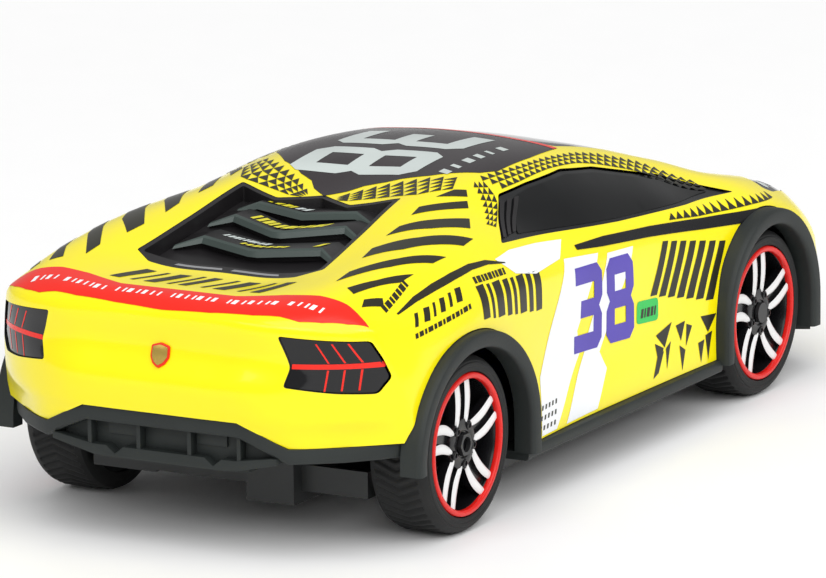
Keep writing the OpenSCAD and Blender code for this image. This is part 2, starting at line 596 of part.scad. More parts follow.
// ---- Gears --------------------------------------------------------------------------------
// Straight-flanked gear outline with one tooth on the +X axis
function gear_points(teeth, m) = [for (i = [0:teeth - 1], k = [0:3])
  let (pitch_r = teeth * m / 2,
       half_angle = [0.29, 0.13, -0.13, -0.29][k] * 360 / teeth,
       r = pitch_r + (k == 1 || k == 2 ? 0.8 * m : -1.15 * m))
  [r * cos(360 * i / teeth - half_angle), r * sin(360 * i / teeth - half_angle)]];
module gear(teeth, m, h, turn) {
  rotate([0, 0, turn]) linear_extrude(h) polygon(gear_points(teeth, m));
}
module at_shaft(x, y) translate([x, y, axle_z]) rotate([-90, 0, 0]) children();
module axle_gear() color("ivory") at_shaft(rear_x, coarse_gear_y - gear_w / 2) difference() {
  union() {
    gear(axle_teeth, coarse_m, gear_w, 0);
    cylinder(r = 5, h = gear_w + 2);
  }
  translate([0, 0, -1]) cylinder(r = axle_r, h = 20);
}
module idler_gear() color("ivory") at_shaft(idler_x, coarse_gear_y - gear_w / 2) difference() {
  union() {
    gear(idler_small_teeth, coarse_m, gear_w + 1.2, 180 / idler_small_teeth);
    translate([0, 0, gear_w + 1]) gear(idler_large_teeth, fine_m, 3, 0);
  }
  translate([0, 0, -1]) cylinder(r = stub_r + 0.02, h = 20);
}
module motor_shaft() color("silver")
  at_shaft(motor_x, fine_gear_y - 3) cylinder(r = 1, h = 14);
module motor_pinion() color("goldenrod") at_shaft(motor_x, fine_gear_y - 2.2) difference() {
  gear(pinion_teeth, fine_m, 3.8, 180 / pinion_teeth);
  translate([0, 0, -1]) cylinder(r = 1, h = 20);
}

// ---- Steering -----------------------------------------------------------------------------
pin_r = 1.2;
module knuckle() {
  translate([front_x, kingpin_y, floor_z + 0.4]) cylinder(r = stub_r, h = 36.3 - floor_z + 1.4);
  translate([front_x, kingpin_y, floor_z + 4.3]) cylinder(r = 2.9, h = 23.6);
  translate([front_x, kingpin_y, axle_z]) rotate([-90, 0, 0]) cylinder(r = 2.6, h = 6);
  translate([front_x, kingpin_y, axle_z]) rotate([-90, 0, 0])
    cylinder(r = stub_r, h = track_half - 1.7 - kingpin_y);
  translate([rod_x, kingpin_y - 2, rod_z - 2.1]) cube([arm_len, 4, 1.8]);
  translate([rod_x, kingpin_y, rod_z - 2.1]) cylinder(r = 2.4, h = 1.8);
  translate([rod_x, kingpin_y, rod_z - 1]) cylinder(r = pin_r, h = 3.6);
}
module knuckle_left() color("dimgray") knuckle();
module knuckle_right() color("dimgray") mirror([0, 1, 0]) knuckle();
// A slot along X for a pin at its rear end, or at its front end when forward is negative
module pin_slot(forward) {
  for (dx = [0, forward]) translate([dx, 0, -1]) cylinder(r = pin_r + 0.1, h = 5);
  translate([min(0, forward), -pin_r - 0.1, -1]) cube([abs(forward), 2 * pin_r + 0.2, 5]);
}
module tie_rod() color("dimgray") translate([rod_x, 0, rod_z]) difference() {
  union() {
    translate([-2, -kingpin_y, 0]) cube([4, 2 * kingpin_y, 2]);
    both() translate([0, kingpin_y, 0]) cylinder(r = 2.8, h = 2);
    translate([-0.2, 0, 0]) cylinder(r = 3.4, h = 2);
  }
  both() translate([0, kingpin_y, 0]) pin_slot(0.8);
  pin_slot(-0.8);
}
module servo_horn() color("white") {
  translate([horn_x, 0, 21]) cylinder(r = 2, h = 13.6);
  translate([horn_x, 0, rod_z + 2.3]) cylinder(r = 4, h = 2.3);
  translate([horn_x, -2, rod_z + 2.3]) cube([arm_len, 4, 2.3]);
  translate([rod_x, 0, rod_z + 2.3]) cylinder(r = 2.2, h = 2.3);
  translate([rod_x, 0, rod_z - 0.2]) cylinder(r = pin_r, h = 3);
}

// ---- Controls under the floor -------------------------------------------------------------
module switch_knob() color("black") {
  translate([switch_at[0] - 4.8, switch_at[1] - 1.6, floor_z - 1.2]) cube([6, 3.2, 4]);
  translate([switch_at[0] - 6.5, switch_at[1] - 3, floor_z + floor_t + 0.2]) cube([10, 6, 1]);
}
module trim_lever() color("black") {
  translate([trim_at[0], trim_at[1], floor_z - 1.4]) cylinder(r = 2, h = 5);
  translate([trim_at[0], trim_at[1], floor_z - 2]) cylinder(r = 4, h = 1.7);
  translate([trim_at[0], trim_at[1] - 1, floor_z - 2]) cube([9, 2, 1.7]);
}

body_shell();
windscreen();
side_window_left();
side_window_right();
engine_cover();
tail_lamp_left();
tail_lamp_right();
headlamp_left();
headlamp_right();
rear_badge();
side_skirt_left();
side_skirt_right();
rear_valance();
rear_diffuser();
front_splitter();
chassis_tub();
gearbox_case();
gearbox_cover();
motor_can();
axle_bushes();
idler_pin();
front_top_plate();
servo_case();
battery_pack();
battery_door();
circuit_board();
board_parts();
front_leds();
battery_lead();
motor_leads();
antenna_wire();
body_screws();
gearbox_screws();
rear_axle();
axle_gear();
rear_rim_left();
rear_rim_right();
rear_ring_left();
rear_ring_right();
rear_tyre_left();
rear_tyre_right();
rear_wheel_nuts();
idler_gear();
motor_shaft();
motor_pinion();
knuckle_left();
knuckle_right();
front_rim_left();
front_rim_right();
front_ring_left();
front_ring_right();
front_tyre_left();
front_tyre_right();
front_screw_left();
front_screw_right();
tie_rod();
servo_horn();
switch_knob();
trim_lever();
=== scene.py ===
import math
from collections import Counter
from itertools import cycle

import bmesh
import bpy
import numpy as np
from mathutils import Matrix, Vector
from mathutils.bvhtree import BVHTree
from mathutils.geometry import delaunay_2d_cdt
from mathutils.kdtree import KDTree


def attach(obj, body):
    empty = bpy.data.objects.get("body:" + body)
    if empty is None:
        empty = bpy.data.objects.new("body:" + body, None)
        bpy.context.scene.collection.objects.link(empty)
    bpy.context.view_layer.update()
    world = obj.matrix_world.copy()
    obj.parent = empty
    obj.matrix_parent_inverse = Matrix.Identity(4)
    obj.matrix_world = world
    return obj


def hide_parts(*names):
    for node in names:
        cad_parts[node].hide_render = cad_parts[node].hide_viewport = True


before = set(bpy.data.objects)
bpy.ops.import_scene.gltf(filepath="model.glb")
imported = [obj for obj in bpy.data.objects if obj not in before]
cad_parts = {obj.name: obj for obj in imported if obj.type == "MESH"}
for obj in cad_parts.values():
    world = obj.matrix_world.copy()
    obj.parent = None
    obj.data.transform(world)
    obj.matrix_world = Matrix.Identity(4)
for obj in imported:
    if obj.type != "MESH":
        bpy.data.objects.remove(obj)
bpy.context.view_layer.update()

MM = 0.001  # the outlines and nets below are in millimetres

# ---- Camera ----
def new_object(name, data):
    """An object of some data in the scene."""
    obj = bpy.data.objects.new(name, data)
    bpy.context.scene.collection.objects.link(obj)
    return obj


CAM_PLACE = (-1556.6, -868.9, 437.0)
CAM_YAW, CAM_PITCH, CAM_ROLL = 0.512, 0.219, -0.011
CAM_LENS = 294.97


def make_camera():
    """Long-lens camera behind the car's right rear corner."""
    yaw, pitch, roll = CAM_YAW, CAM_PITCH, CAM_ROLL
    ahead = Vector((math.cos(pitch) * math.cos(yaw), math.cos(pitch) * math.sin(yaw), -math.sin(pitch)))
    right = ahead.cross(Vector((0, 0, 1))).normalized()
    up = right.cross(ahead)
    across = math.cos(roll) * right + math.sin(roll) * up
    top = -math.sin(roll) * right + math.cos(roll) * up
    data = bpy.data.cameras.new("camera")
    data.sensor_width = 36.0
    data.lens = CAM_LENS
    data.clip_start = 0.05
    cam = new_object("camera", data)
    axes = Matrix((across, top, -ahead)).transposed().to_4x4()
    cam.matrix_world = Matrix.Translation(Vector(CAM_PLACE) * MM) @ axes
    bpy.context.scene.camera = cam


make_camera()

# ---- Body surface ----
def stations(rows):
    """Rows of points from their x, y and z, where one number stands for a whole row of them."""
    return [list(zip(*(c.tolist() for c in np.broadcast_arrays(*row)))) for row in rows]


# Left half of the upper surface, one row per station from the tail lip to the nose tip,
# from the centre plane out to the shoulder line
UPPER = stations([
    ((-141, -141.5, -141, -138, -133.5, -128), (0, 16, 30, 41, 49, 54), (62.3, 62.3, 61.5, 61.3, 61.2, 61)),
    ((-133, -133, -133, -130, -126, -122), (0, 15, 28, 40, 48, 55), (66, 66, 66, 66, 65, 61.5)),
    (-110, (0, 15, 28, 40, 49, 57.5), (66.5, 66.5, 68.5, 70, 68, 60)),
    (-84, (0, 15, 28, 40, 49, 59), (72, 72, 73.5, 73.5, 70.5, 61)),
    (-58, (0, 15, 27, 38, 48, 57.5), (76.5, 77.5, 78.5, 75.5, 70.5, 60)),
    (-29, (0, 15, 30, 41, 48, 56), (82, 82, 80.5, 75.5, 67, 58)),
    (1, (0, 15, 30, 41, 49, 55), (82.5, 82, 80, 75, 66, 57)),
    ((34, 34, 34, 31, 34, 34), (0, 15, 30, 38, 48.5, 54.5), (77.5, 77, 75.8, 73, 64, 56)),
    ((64, 64, 62, 60, 60, 60), (0, 15, 30, 38, 47.5, 56), (68, 67.5, 67.8, 67.4, 60.5, 55)),
    ((86, 86, 86, 84, 84, 84), (0, 15, 28, 39, 48, 58.5), (60, 60, 60, 60.5, 59, 54)),
    ((108, 108, 108, 108, 108, 104), (0, 15, 28, 40, 48, 58), (52, 52, 53, 54.5, 53.5, 48.5)),
    ((130, 129, 127, 123, 120, 115), (0, 15, 28, 39, 47, 57), (43, 43, 44, 46.5, 48, 43)),
    ((143, 142, 139, 134, 129, 120), (0, 15, 28, 39, 48, 57), (33, 33, 33.5, 36, 40, 37)),
])
# Below the shoulder line at the same stations, downwards
SIDE = stations([
    ((-125.5, -123, -120, -117.5, -116), (56.5, 58.5, 60, 61, 61), (53, 45, 37.5, 30.3, 8)),
    ((-119, -117.5, -116, -115, -114), (57.5, 59.5, 60.5, 61, 61), (54, 46, 38, 30, 8)),
    ((-108, -107, -106, -105, -104), (59.5, 60.5, 61, 61, 61), (53, 46, 38, 28, 8)),
    (-84, (60.5, 61, 61, 61, 61), (54, 47, 38, 26, 8)),
    (-58, (58.5, 59, 59.5, 60, 60), (52, 44, 34, 22, 8)),
    (-29, (56.5, 56.5, 57, 58.5, 59.5), (49, 39, 29, 19, 8)),
    (1, (56, 56.5, 57, 58.5, 59.5), (48, 38, 29, 19, 8)),
    (34, (56, 57, 58, 59, 60), (48, 39, 30, 19, 8)),
    (60, (58, 59, 60, 60, 60), (48, 40, 32, 20, 8)),
    (84, (60, 60.5, 60.5, 60.5, 60.5), (48, 41, 33, 20, 8)),
    (104, (59.5, 60, 60.5, 60.5, 60.5), (43, 37, 30, 20, 8)),
    ((114, 113.5, 113, 112.5, 112), (58.5, 59.5, 60.5, 60.5, 60.5), (38, 33, 27, 19, 8)),
    ((119.5, 119, 118, 117, 116), (57.5, 58.5, 59.5, 60, 60), (32, 28, 24, 16, 8)),
])
# Tail face rows under the lip and nose face rows under the nose tip, from the centre plane out
TAIL = stations([
    ((-140, -140, -140, -137, -132), (0, 15, 28, 40.5, 50), 53),
    ((-143, -143, -142.5, -138, -131.5), (0, 15, 28, 40, 50), 45),
    ((-142.5, -142.5, -142, -138.5, -131), (0, 15, 28, 39, 50), 38),
    ((-141, -141, -140, -137, -128.5), (0, 15, 28, 38, 49), 30.5),
    ((-138, -138, -137, -134, -126), (0, 15, 28, 38, 49), 8),
])
NOSE = stations([
    ((143, 142, 139.5, 135, 128.5), (0, 15, 28, 39, 49), (29, 29, 29, 30, 32)),
    ((142, 141, 138.5, 134, 128), (0, 15, 28, 39, 49), (25, 25, 25, 26, 27)),
    ((141, 140, 137.5, 133, 127), (0, 15, 28, 39, 49), (21, 21, 21, 22, 23)),
    ((140, 139, 136.5, 132, 126), (0, 15, 28, 39, 49), 15.5),
    ((138, 137, 134.5, 130, 124), (0, 15, 28, 39, 49), 8),
])


def through(points, n):
    """Catmull-Rom curve through points along the first axis of an array, n steps to a span."""
    p = np.asarray(points, float)
    p = np.concatenate([[2 * p[0] - p[1]], p, [2 * p[-1] - p[-2]]])
    out = []
    for i in range(1, len(p) - 2):
        a, b, c, d = p[i - 1], p[i], p[i + 1], p[i + 2]
        for t in np.arange(n) / n:
            out.append(0.5 * (2 * b + (c - a) * t + (2 * a - 5 * b + 4 * c - d) * t * t
                              + (3 * b - a - 3 * c + d) * t ** 3))
    return np.array(out + [p[-2]])


def grid_of(net, n, m):
    """Grid of points through a control net."""
    return np.swapaxes(through(np.swapaxes(through(net, n), 0, 1), m), 0, 1)


def widen(net):
    """A net that starts on the centre plane, continued on the other side of it."""
    a = np.asarray(net, float)
    return np.concatenate([(a * (1, -1, 1))[:, :0:-1], a], axis=1)


def grid_faces(rows, cols, start, flip):
    """Quads of a grid of points."""
    corners = [start + i * cols + j for i in range(rows - 1) for j in range(cols - 1)]
    quads = [(a, a + 1, a + cols + 1, a + cols) for a in corners]
    return [q[::-1] for q in quads] if flip else quads


def body_block(long_n, top_n, side_n):
    """The whole outer surface as one closed block, in millimetres: vertices and faces."""
    left = grid_of([[up[-1]] + low for up, low in zip(UPPER, SIDE)], long_n, side_n)
    right = left * (1, -1, 1)
    ends = [[UPPER[end]] + [row + [low] for row, low in zip(rows, SIDE[end])]
            for end, rows in ((0, TAIL), (-1, NOSE))]
    tail, nose = (grid_of(widen(net), side_n, top_n) for net in ends)
    verts, faces = [], []
    for g, flip in ((grid_of(widen(UPPER), long_n, top_n), False), (tail, True), (left, False),
                    (nose, False), (right, True)):
        faces += grid_faces(g.shape[0], g.shape[1], len(verts), flip)
        verts += [tuple(p) for p in g.reshape(-1, 3)]
    foot = [*tail[-1], *left[1:, -1], *nose[-1][-2::-1], *right[-2:0:-1, -1]]
    faces.append(tuple(range(len(verts), len(verts) + len(foot)))[::-1])
    return verts + [tuple(p) for p in foot], faces


def new_mesh(name, verts, faces, scale=MM):
    mesh = bpy.data.meshes.new(name)
    mesh.from_pydata([tuple(np.asarray(v, float) * scale) for v in verts], [], faces)
    mesh.validate()
    return mesh


MERGE_GAP = 1e-7


def merge(mesh):
    """Joins the points that coincide and turns all faces outwards."""
    bm = bmesh.new()
    bm.from_mesh(mesh)
    bmesh.ops.remove_doubles(bm, verts=bm.verts, dist=MERGE_GAP)
    bmesh.ops.recalc_face_normals(bm, faces=bm.faces)
    bm.to_mesh(mesh)
    bm.free()
    return mesh


def coords(mesh):
    return np.array([v.co for v in mesh.vertices])


CREASE_REACH = 6.5 * MM
CREASE_PULL, CREASE_ROUNDS = 0.6, 14
FOOT = 9 * MM  # the block stays as it is below this height


def soften(mesh):
    """Rounds the shoulder line and the edges of the tail and nose faces."""
    lines = [through([s[-1] for s in UPPER], 30)]
    for end in (0, -1):
        lines += [through(widen([UPPER[end]])[0], 16), through([UPPER[end][-1]] + SIDE[end], 16)]
    marks = [(x, s * y, z) for line in lines for x, y, z in line for s in (1, -1)]
    crease = KDTree(len(marks))
    for i, p in enumerate(marks):
        crease.insert(Vector(p) * MM, i)
    crease.balance()
    co = coords(mesh)
    near = np.array([crease.find(Vector(c))[2] for c in co])
    weight = np.clip(1 - near / CREASE_REACH, 0, 1)[:, None] * CREASE_PULL
    weight[co[:, 2] < FOOT] = 0
    ends = np.array([e.vertices for e in mesh.edges])
    both = np.concatenate([ends, ends[:, ::-1]])
    degree = np.bincount(both[:, 0], minlength=len(co))[:, None]
    for _ in range(CREASE_ROUNDS):
        total = np.stack([np.bincount(both[:, 0], co[both[:, 1], k], len(co)) for k in range(3)], 1)
        co += (total / degree - co) * weight
    mesh.vertices.foreach_set("co", co.ravel())
    mesh.update()
    return mesh


block = soften(merge(new_mesh("block", *body_block(10, 8, 6))))
block_co = coords(block)
block_no = np.array([v.normal for v in block.vertices])
block_quads = [p.vertices for p in block.polygons if len(p.vertices) == 4]
block_tris = [tri for a, b, c, d in block_quads for tri in ((a, b, c), (a, c, d))]
block_tree = BVHTree.FromPolygons([Vector(c) for c in block_co], block_tris)


def smooth_normal(point, tri):
    """Surface normal at a point of one of the block's triangles, smooth across its edges."""
    ia, ib, ic = block_tris[tri]
    a, b, c = block_co[ia], block_co[ib], block_co[ic]
    p = np.array(point)
    n = np.cross(b - a, c - a)
    area = n @ n
    wa = np.cross(c - b, p - b) @ n / area
    wb = np.cross(a - c, p - c) @ n / area
    v = wa * block_no[ia] + wb * block_no[ib] + (1 - wa - wb) * block_no[ic]
    return Vector(v).normalized()


# ---- Materials ----
CLOUD_SCALE = 0.06  # scale of the colour's drift against that of the grain
GRAIN_DEPTH = 0.0002
WEAR = 0.12


def wired(tree, node, **inputs):
    """Sets inputs of a shader node, named with _ for a space: a socket is linked, the rest are values."""
    for name, value in inputs.items():
        if isinstance(value, bpy.types.NodeSocket):
            tree.links.new(value, node.inputs[name.replace("_", " ")])
        else:
            node.inputs[name.replace("_", " ")].default_value = value
    return node


def look(name, colour, rough, spread=0.06, grain=900, bump=0.02, metal=0.0, coat=0.0, shine=0.5):
    """Moulded or painted surface: its colour drifts a little, its gloss is uneven, its grain is fine."""
    mat = bpy.data.materials.new(name)
    mat.use_nodes = True
    tree = mat.node_tree
    new = tree.nodes.new
    place = new("ShaderNodeTexCoord").outputs["Object"]
    cloud = wired(tree, new("ShaderNodeTexNoise"), Scale=grain * CLOUD_SCALE, Detail=4, Vector=place)
    fine = wired(tree, new("ShaderNodeTexNoise"), Scale=grain, Detail=3, Vector=place).outputs["Fac"]
    ramp = wired(tree, new("ShaderNodeValToRGB"), Fac=cloud.outputs["Fac"])
    for stop, at, factor in zip(ramp.color_ramp.elements, (0.3, 0.7), (1 - spread, 1 + spread)):
        stop.position = at
        stop.color = (*(min(1, c * factor) for c in colour), 1)
    gloss = wired(tree, new("ShaderNodeMapRange"), Value=fine, To_Min=rough * (1 - WEAR),
                  To_Max=rough * (1 + WEAR))
    relief = wired(tree, new("ShaderNodeBump"), Strength=bump, Distance=GRAIN_DEPTH, Height=fine)
    wired(tree, tree.nodes["Principled BSDF"], Metallic=metal, Coat_Weight=coat, Coat_Roughness=0.04,
          Specular_IOR_Level=shine, Base_Color=ramp.outputs["Color"], Roughness=gloss.outputs["Result"],
          Normal=relief.outputs["Normal"])
    return mat


PAINT = look("yellow_paint", (0.96, 0.82, 0.0), 0.22, spread=0.015, grain=700, bump=0.015, coat=0.3,
             shine=0.35)
INSIDE = look("shell_inside", (0.03, 0.03, 0.03), 0.6, bump=0.1)
DARK_INK = look("ink_dark", (0.020, 0.019, 0.010), 0.3, spread=0.15, shine=0.3)
BLACK_INK = look("ink_black", (0.005, 0.005, 0.006), 0.25, shine=0.3)
ROOF_INK = look("ink_roof", (0.022, 0.016, 0.019), 0.25, spread=0.12, shine=0.3)
WHITE_INK = look("ink_white", (0.86, 0.88, 0.90), 0.22, spread=0.03, shine=0.4)
PALE_INK = look("ink_pale", (0.58, 0.64, 0.62), 0.22, spread=0.05, shine=0.4)
RED_INK = look("ink_red", (0.82, 0.022, 0.012), 0.22, spread=0.05, shine=0.3)
BLUE_INK = look("ink_blue", (0.075, 0.045, 0.40), 0.22, shine=0.35)
GREEN_INK = look("ink_green", (0.02, 0.52, 0.08), 0.22, spread=0.05, shine=0.35)
YELLOW_INK = look("ink_yellow", (0.75, 0.68, 0.02), 0.3, spread=0.1)
TRIM = look("trim_plastic", (0.017, 0.021, 0.020), 0.55, spread=0.10, grain=1800, bump=0.12, shine=0.35)
GLASS = look("smoked_window", (0.003, 0.0035, 0.004), 0.05, spread=0.2, bump=0.0, shine=0.2)
FRAME = look("window_frame", (0.006, 0.007, 0.008), 0.22, spread=0.15, bump=0.03, shine=0.35)
COVER = look("cover_plastic", (0.012, 0.011, 0.012), 0.35, spread=0.15, bump=0.04, shine=0.35)
# paler colour for the louvres' rear slopes, chosen by which way the faces turn: painted sheen
LOUVRE_SHEEN = look("louvre_edge", (0.048, 0.066, 0.060), 0.35, spread=0.12, bump=0.05, shine=0.4)
LAMP = look("lamp_lens", (0.004, 0.004, 0.005), 0.08, spread=0.2, bump=0.0, shine=0.45)
RUBBER = look("tyre_rubber", (0.012, 0.0125, 0.0125), 0.62, spread=0.15, grain=2500, bump=0.25, shine=0.3)
RIM = look("rim_black", (0.006, 0.006, 0.007), 0.22, spread=0.15, shine=0.4)
SPOKE = look("spoke_white", (0.80, 0.80, 0.80), 0.22, spread=0.03, coat=0.3)
RING = look("ring_red", (0.72, 0.012, 0.008), 0.26, spread=0.05, shine=0.35)
CHROME = look("silver_trim", (0.75, 0.76, 0.78), 0.15, metal=1.0)

# ---- Mesh tools ----
CORNER = 0.45  # a rounded corner takes at most this part of an edge
def creased(mesh, angle):
    """Smooth shading that keeps the edges sharper than an angle."""
    mesh.shade_smooth()
    bm = bmesh.new()
    bm.from_mesh(mesh)
    for e in bm.edges:
        e.smooth = len(e.link_faces) != 2 or e.calc_face_angle(0) < math.radians(angle)
    bm.to_mesh(mesh)
    bm.free()


def add(name, mesh, mat, node=None, body="chassis", crease=35):
    """Puts a finished mesh into the scene as a piece that rides on a body, in place of a CAD node."""
    obj = new_object(name, mesh)
    if not mesh.materials:
        mesh.materials.append(mat)
    if crease:
        creased(mesh, crease)
    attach(obj, body)
    if node:
        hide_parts(node)


def rounded(outline, radius, steps=4):
    """An outline with its corners rounded by short arcs."""
    pts = [np.array(p, float) for p in outline]
    out = []
    for i, p in enumerate(pts):
        a, b = pts[i - 1] - p, pts[(i + 1) % len(pts)] - p
        la, lb = np.linalg.norm(a), np.linalg.norm(b)
        cut = min(radius, la * CORNER, lb * CORNER)
        start, end = p + a / la * cut, p + b / lb * cut
        for k in range(steps + 1):
            t = k / steps
            out.append(tuple((1 - t) ** 2 * start + 2 * t * (1 - t) * p + t * t * end))
    return out


# Drawing planes: two axes of the drawing and the direction in which it is laid on the body
X, Y, Z = Vector((1, 0, 0)), Vector((0, 1, 0)), Vector((0, 0, 1))
SIDE_R, SIDE_L = (X, Z, Y), (X, Z, -Y)
TOP = (X, Y, -Z)
REAR, FRONT = (Y, Z, X), (Y, Z, -X)


def mirrored(half):
    """An outline from the half of it at positive x, which is drawn from one end to the other."""
    return half + [(-x, y) for x, y in half[::-1]]


def rect(x0, y0, x1, y1):
    return [(x0, y0), (x1, y0), (x1, y1), (x0, y1)]


def skin(count, m, ring=False):
    """Faces over rows of m points: closed on itself as a ring, or capped at both ends."""
    rows = [range(k * m, k * m + m) for k in range(count)]
    pairs = zip(rows, rows[1:] + rows[:ring])
    faces = [(p[i], p[(i + 1) % m], q[(i + 1) % m], q[i]) for p, q in pairs for i in range(m)]
    return faces if ring else faces + [tuple(rows[0]), tuple(rows[-1])[::-1]]


def prism(outline, plane, near, far):
    """Closed prism of an outline between two distances along the plane's direction, in mm."""
    e1, e2, ahead = plane
    n = len(outline)
    verts = [(p[0] * e1 + p[1] * e2 + d * ahead) for d in (near, far) for p in outline]
    faces = [tuple(range(n)), tuple(range(2 * n - 1, n - 1, -1))]
    faces += [(i, n + i, n + (i + 1) % n, (i + 1) % n) for i in range(n)]
    return merge(new_mesh("cutter", verts, faces))


def subtract(mesh, cutters):
    """mesh minus each cutter."""
    obj = new_object("work", mesh)
    for cutter in cutters:
        mod = obj.modifiers.new("cut", "BOOLEAN")
        mod.operation = "DIFFERENCE"
        mod.solver = "MANIFOLD"
        mod.object = new_object("tool", cutter)
    bpy.context.view_layer.update()
    result = bpy.data.meshes.new_from_object(obj.evaluated_get(bpy.context.evaluated_depsgraph_get()))
    for o in [m.object for m in obj.modifiers] + [obj]:
        bpy.data.objects.remove(o)
    return result


def inside(p, outline):
    """Whether a point lies inside an outline."""
    hit = False
    for a, b in zip([outline[-1]] + outline, outline):
        if (a[1] > p[1]) != (b[1] > p[1]) and p[0] < (b[0] - a[0]) * (p[1] - a[1]) / (b[1] - a[1]) + a[0]:
            hit = not hit
    return hit


ROW_PITCH = 0.87  # distance of the rows of points inside an outline, and their least
EDGE_GAP = 0.45   # distance from its edge, in steps


def triangulated(outline, step):
    """Even triangles inside an outline: points and triangles."""
    edge = []
    for i in range(len(outline)):
        a, b = np.array(outline[i - 1], float), np.array(outline[i], float)
        k = max(1, int(np.linalg.norm(b - a) / step))
        edge += [tuple(a + (b - a) * t / k) for t in range(k)]
    lo, hi = np.min(edge, 0), np.max(edge, 0)
    fill = []
    shift = 0
    for y in np.arange(lo[1] + step / 2, hi[1], step * ROW_PITCH):
        shift = step / 2 - shift
        for x in np.arange(lo[0] + step / 2 + shift, hi[0], step):
            gap = min(math.hypot(x - e[0], y - e[1]) for e in edge)
            if gap > step * EDGE_GAP and inside((x, y), outline):
                fill.append((x, y))
    pts, _, tris, *_ = delaunay_2d_cdt(
        [Vector(p) for p in edge + fill], [], [list(range(len(edge)))], 1, 1e-5)
    return [tuple(p) for p in pts], [tuple(t) for t in tris]


AWAY = 0.3  # points are laid on the body from this far outside it, in metres


def laid(p, plane, lift):
    """The drawn point laid on the body, raised by lift along the surface normal, in metres."""
    e1, e2, ahead = plane
    start = (p[0] * e1 + p[1] * e2) * MM - ahead * AWAY
    hit, _, tri, _ = block_tree.ray_cast(start, ahead)
    if hit is None:
        return None, None
    n = smooth_normal(hit, tri)
    return hit + n * lift * MM, n


INK = {}


def film(outline, plane, mat, lift=0.1, step=1.5):
    """A printed area on the body. All areas of one ink become one piece."""
    pts, tris = triangulated(outline, step)
    verts, faces, norms = INK.setdefault(mat.name, (mat, [], [], []))[1:]
    index = {}
    for i, p in enumerate(pts):
        co, n = laid(p, plane, lift(p) if callable(lift) else lift)
        if co is not None:
            index[i] = len(verts)
            verts.append(co)
            norms.append(n)
    for t in tris:
        if all(i in index for i in t):
            a, b, c = (index[i] for i in t)
            up = (verts[b] - verts[a]).cross(verts[c] - verts[a])
            faces.append((a, b, c) if up.dot(norms[a]) > 0 else (a, c, b))


def flip_side(outline):
    """An outline drawn on the left half of the top, put on the right."""
    return [(x, -y) for x, y in outline]


def across(outline, s):
    """An outline drawn on the left half of the tail or nose, put on side s."""
    return [(s * y, z) for y, z in outline]


def side_films(outline, mat, lift=0.1):
    for plane in (SIDE_R, SIDE_L):
        film(outline, plane, mat, lift)


def top_films(outline, mat, lift=0.1):
    for half in (outline, flip_side(outline)):
        film(half, TOP, mat, lift)


def panel(outline, plane, sink, thick, step=2.4):
    """A closed plate that follows the body surface, sunk below it by some millimetres."""
    pts, tris = triangulated(outline, step)
    found = [laid(p, plane, -sink) for p in pts]
    kept = [i for i, (co, _) in enumerate(found) if co is not None]
    where = {i: k for k, i in enumerate(kept)}
    top = [found[i] for i in kept]
    tris = [tuple(where[i] for i in t) for t in tris if all(i in where for i in t)]
    n = len(top)
    verts = [tuple(co) for co, _ in top] + [tuple(co - up * thick * MM) for co, up in top]
    count = Counter(tuple(sorted(e)) for a, b, c in tris for e in ((a, b), (b, c), (c, a)))
    faces = tris + [(c + n, b + n, a + n) for a, b, c in tris]
    faces += [(a, b, b + n, a + n) for (a, b), k in count.items() if k == 1]
    return merge(new_mesh("panel", verts, faces, 1.0))


def joined(meshes):
    """Several meshes as one, keeping their materials."""
    bm = bmesh.new()
    slots = []
    for m in meshes:
        first = len(bm.faces)
        bm.from_mesh(m)
        bm.faces.ensure_lookup_table()
        slots += [mat for mat in m.materials if mat not in slots]
        for f in bm.faces[first:]:
            f.material_index = slots.index(m.materials[min(f.material_index, len(m.materials) - 1)])
    out = bpy.data.meshes.new("joined")
    bm.to_mesh(out)
    bm.free()
    for mat in slots:
        out.materials.append(mat)
    return out


def painted(mesh, mat):
    mesh.materials.clear()
    mesh.materials.append(mat)
    return mesh


def bevelled(mesh, width, angle=30):
    """Rounds the sharp edges of a mesh."""
    bm = bmesh.new()
    bm.from_mesh(mesh)
    edges = [e for e in bm.edges if len(e.link_faces) == 2 and e.calc_face_angle(0) > math.radians(angle)]
    bmesh.ops.bevel(bm, geom=edges, offset=width * MM, segments=2, affect="EDGES", profile=0.6,
                    clamp_overlap=True)
    bm.to_mesh(mesh)
    bm.free()
    return mesh


# ---- Outlines of the openings, in millimetres ----
WINDOW = [(-53, 67.8), (-34.5, 76.4), (-20, 76.8), (1, 76.6), (18, 74.2), (50, 66.5), (77, 57.5),
          (50, 58.8), (10, 61.8), (-30, 65.6)]
GLASS_PANE = [(-40, 67.9), (-28.5, 75.3), (-20, 75.8), (1, 75.5), (17, 73.1), (48, 65.6), (68, 59.2),
              (49, 59.9), (10, 62.8), (-28, 66.5)]
SCREEN = [(17, -28), (17, 28), (36, 31), (62, 33.5), (78, 33), (84, 20), (85, 0), (84, -20), (78, -33),
          (62, -33.5), (36, -31)]
BAY = [(-58.6, -23.9), (-63, -11), (-57, 0), (-63, 11), (-58.6, 23.9), (-106, 27.7), (-110.3, 21.7),
       (-110.3, -21.7), (-106, -27.7)]
TAIL_LAMP = [(33.6, 59.3), (36.5, 51.3), (35.1, 46.3), (47, 44.6), (55, 44), (57.5, 48), (56, 53), (54, 57.8)]
HEADLAMP = [(104, 40), (118, 36), (124, 38), (122, 44), (112, 50), (100, 53), (96, 52), (98, 45)]
AXLE_Z = 23.2
REAR_X, FRONT_X = -89, 81
REAR_ARCH = (-88, 32.5)
FRONT_ARCH = (FRONT_X, 29)
ARCH_TOP = 52.6
WALL = 1.6


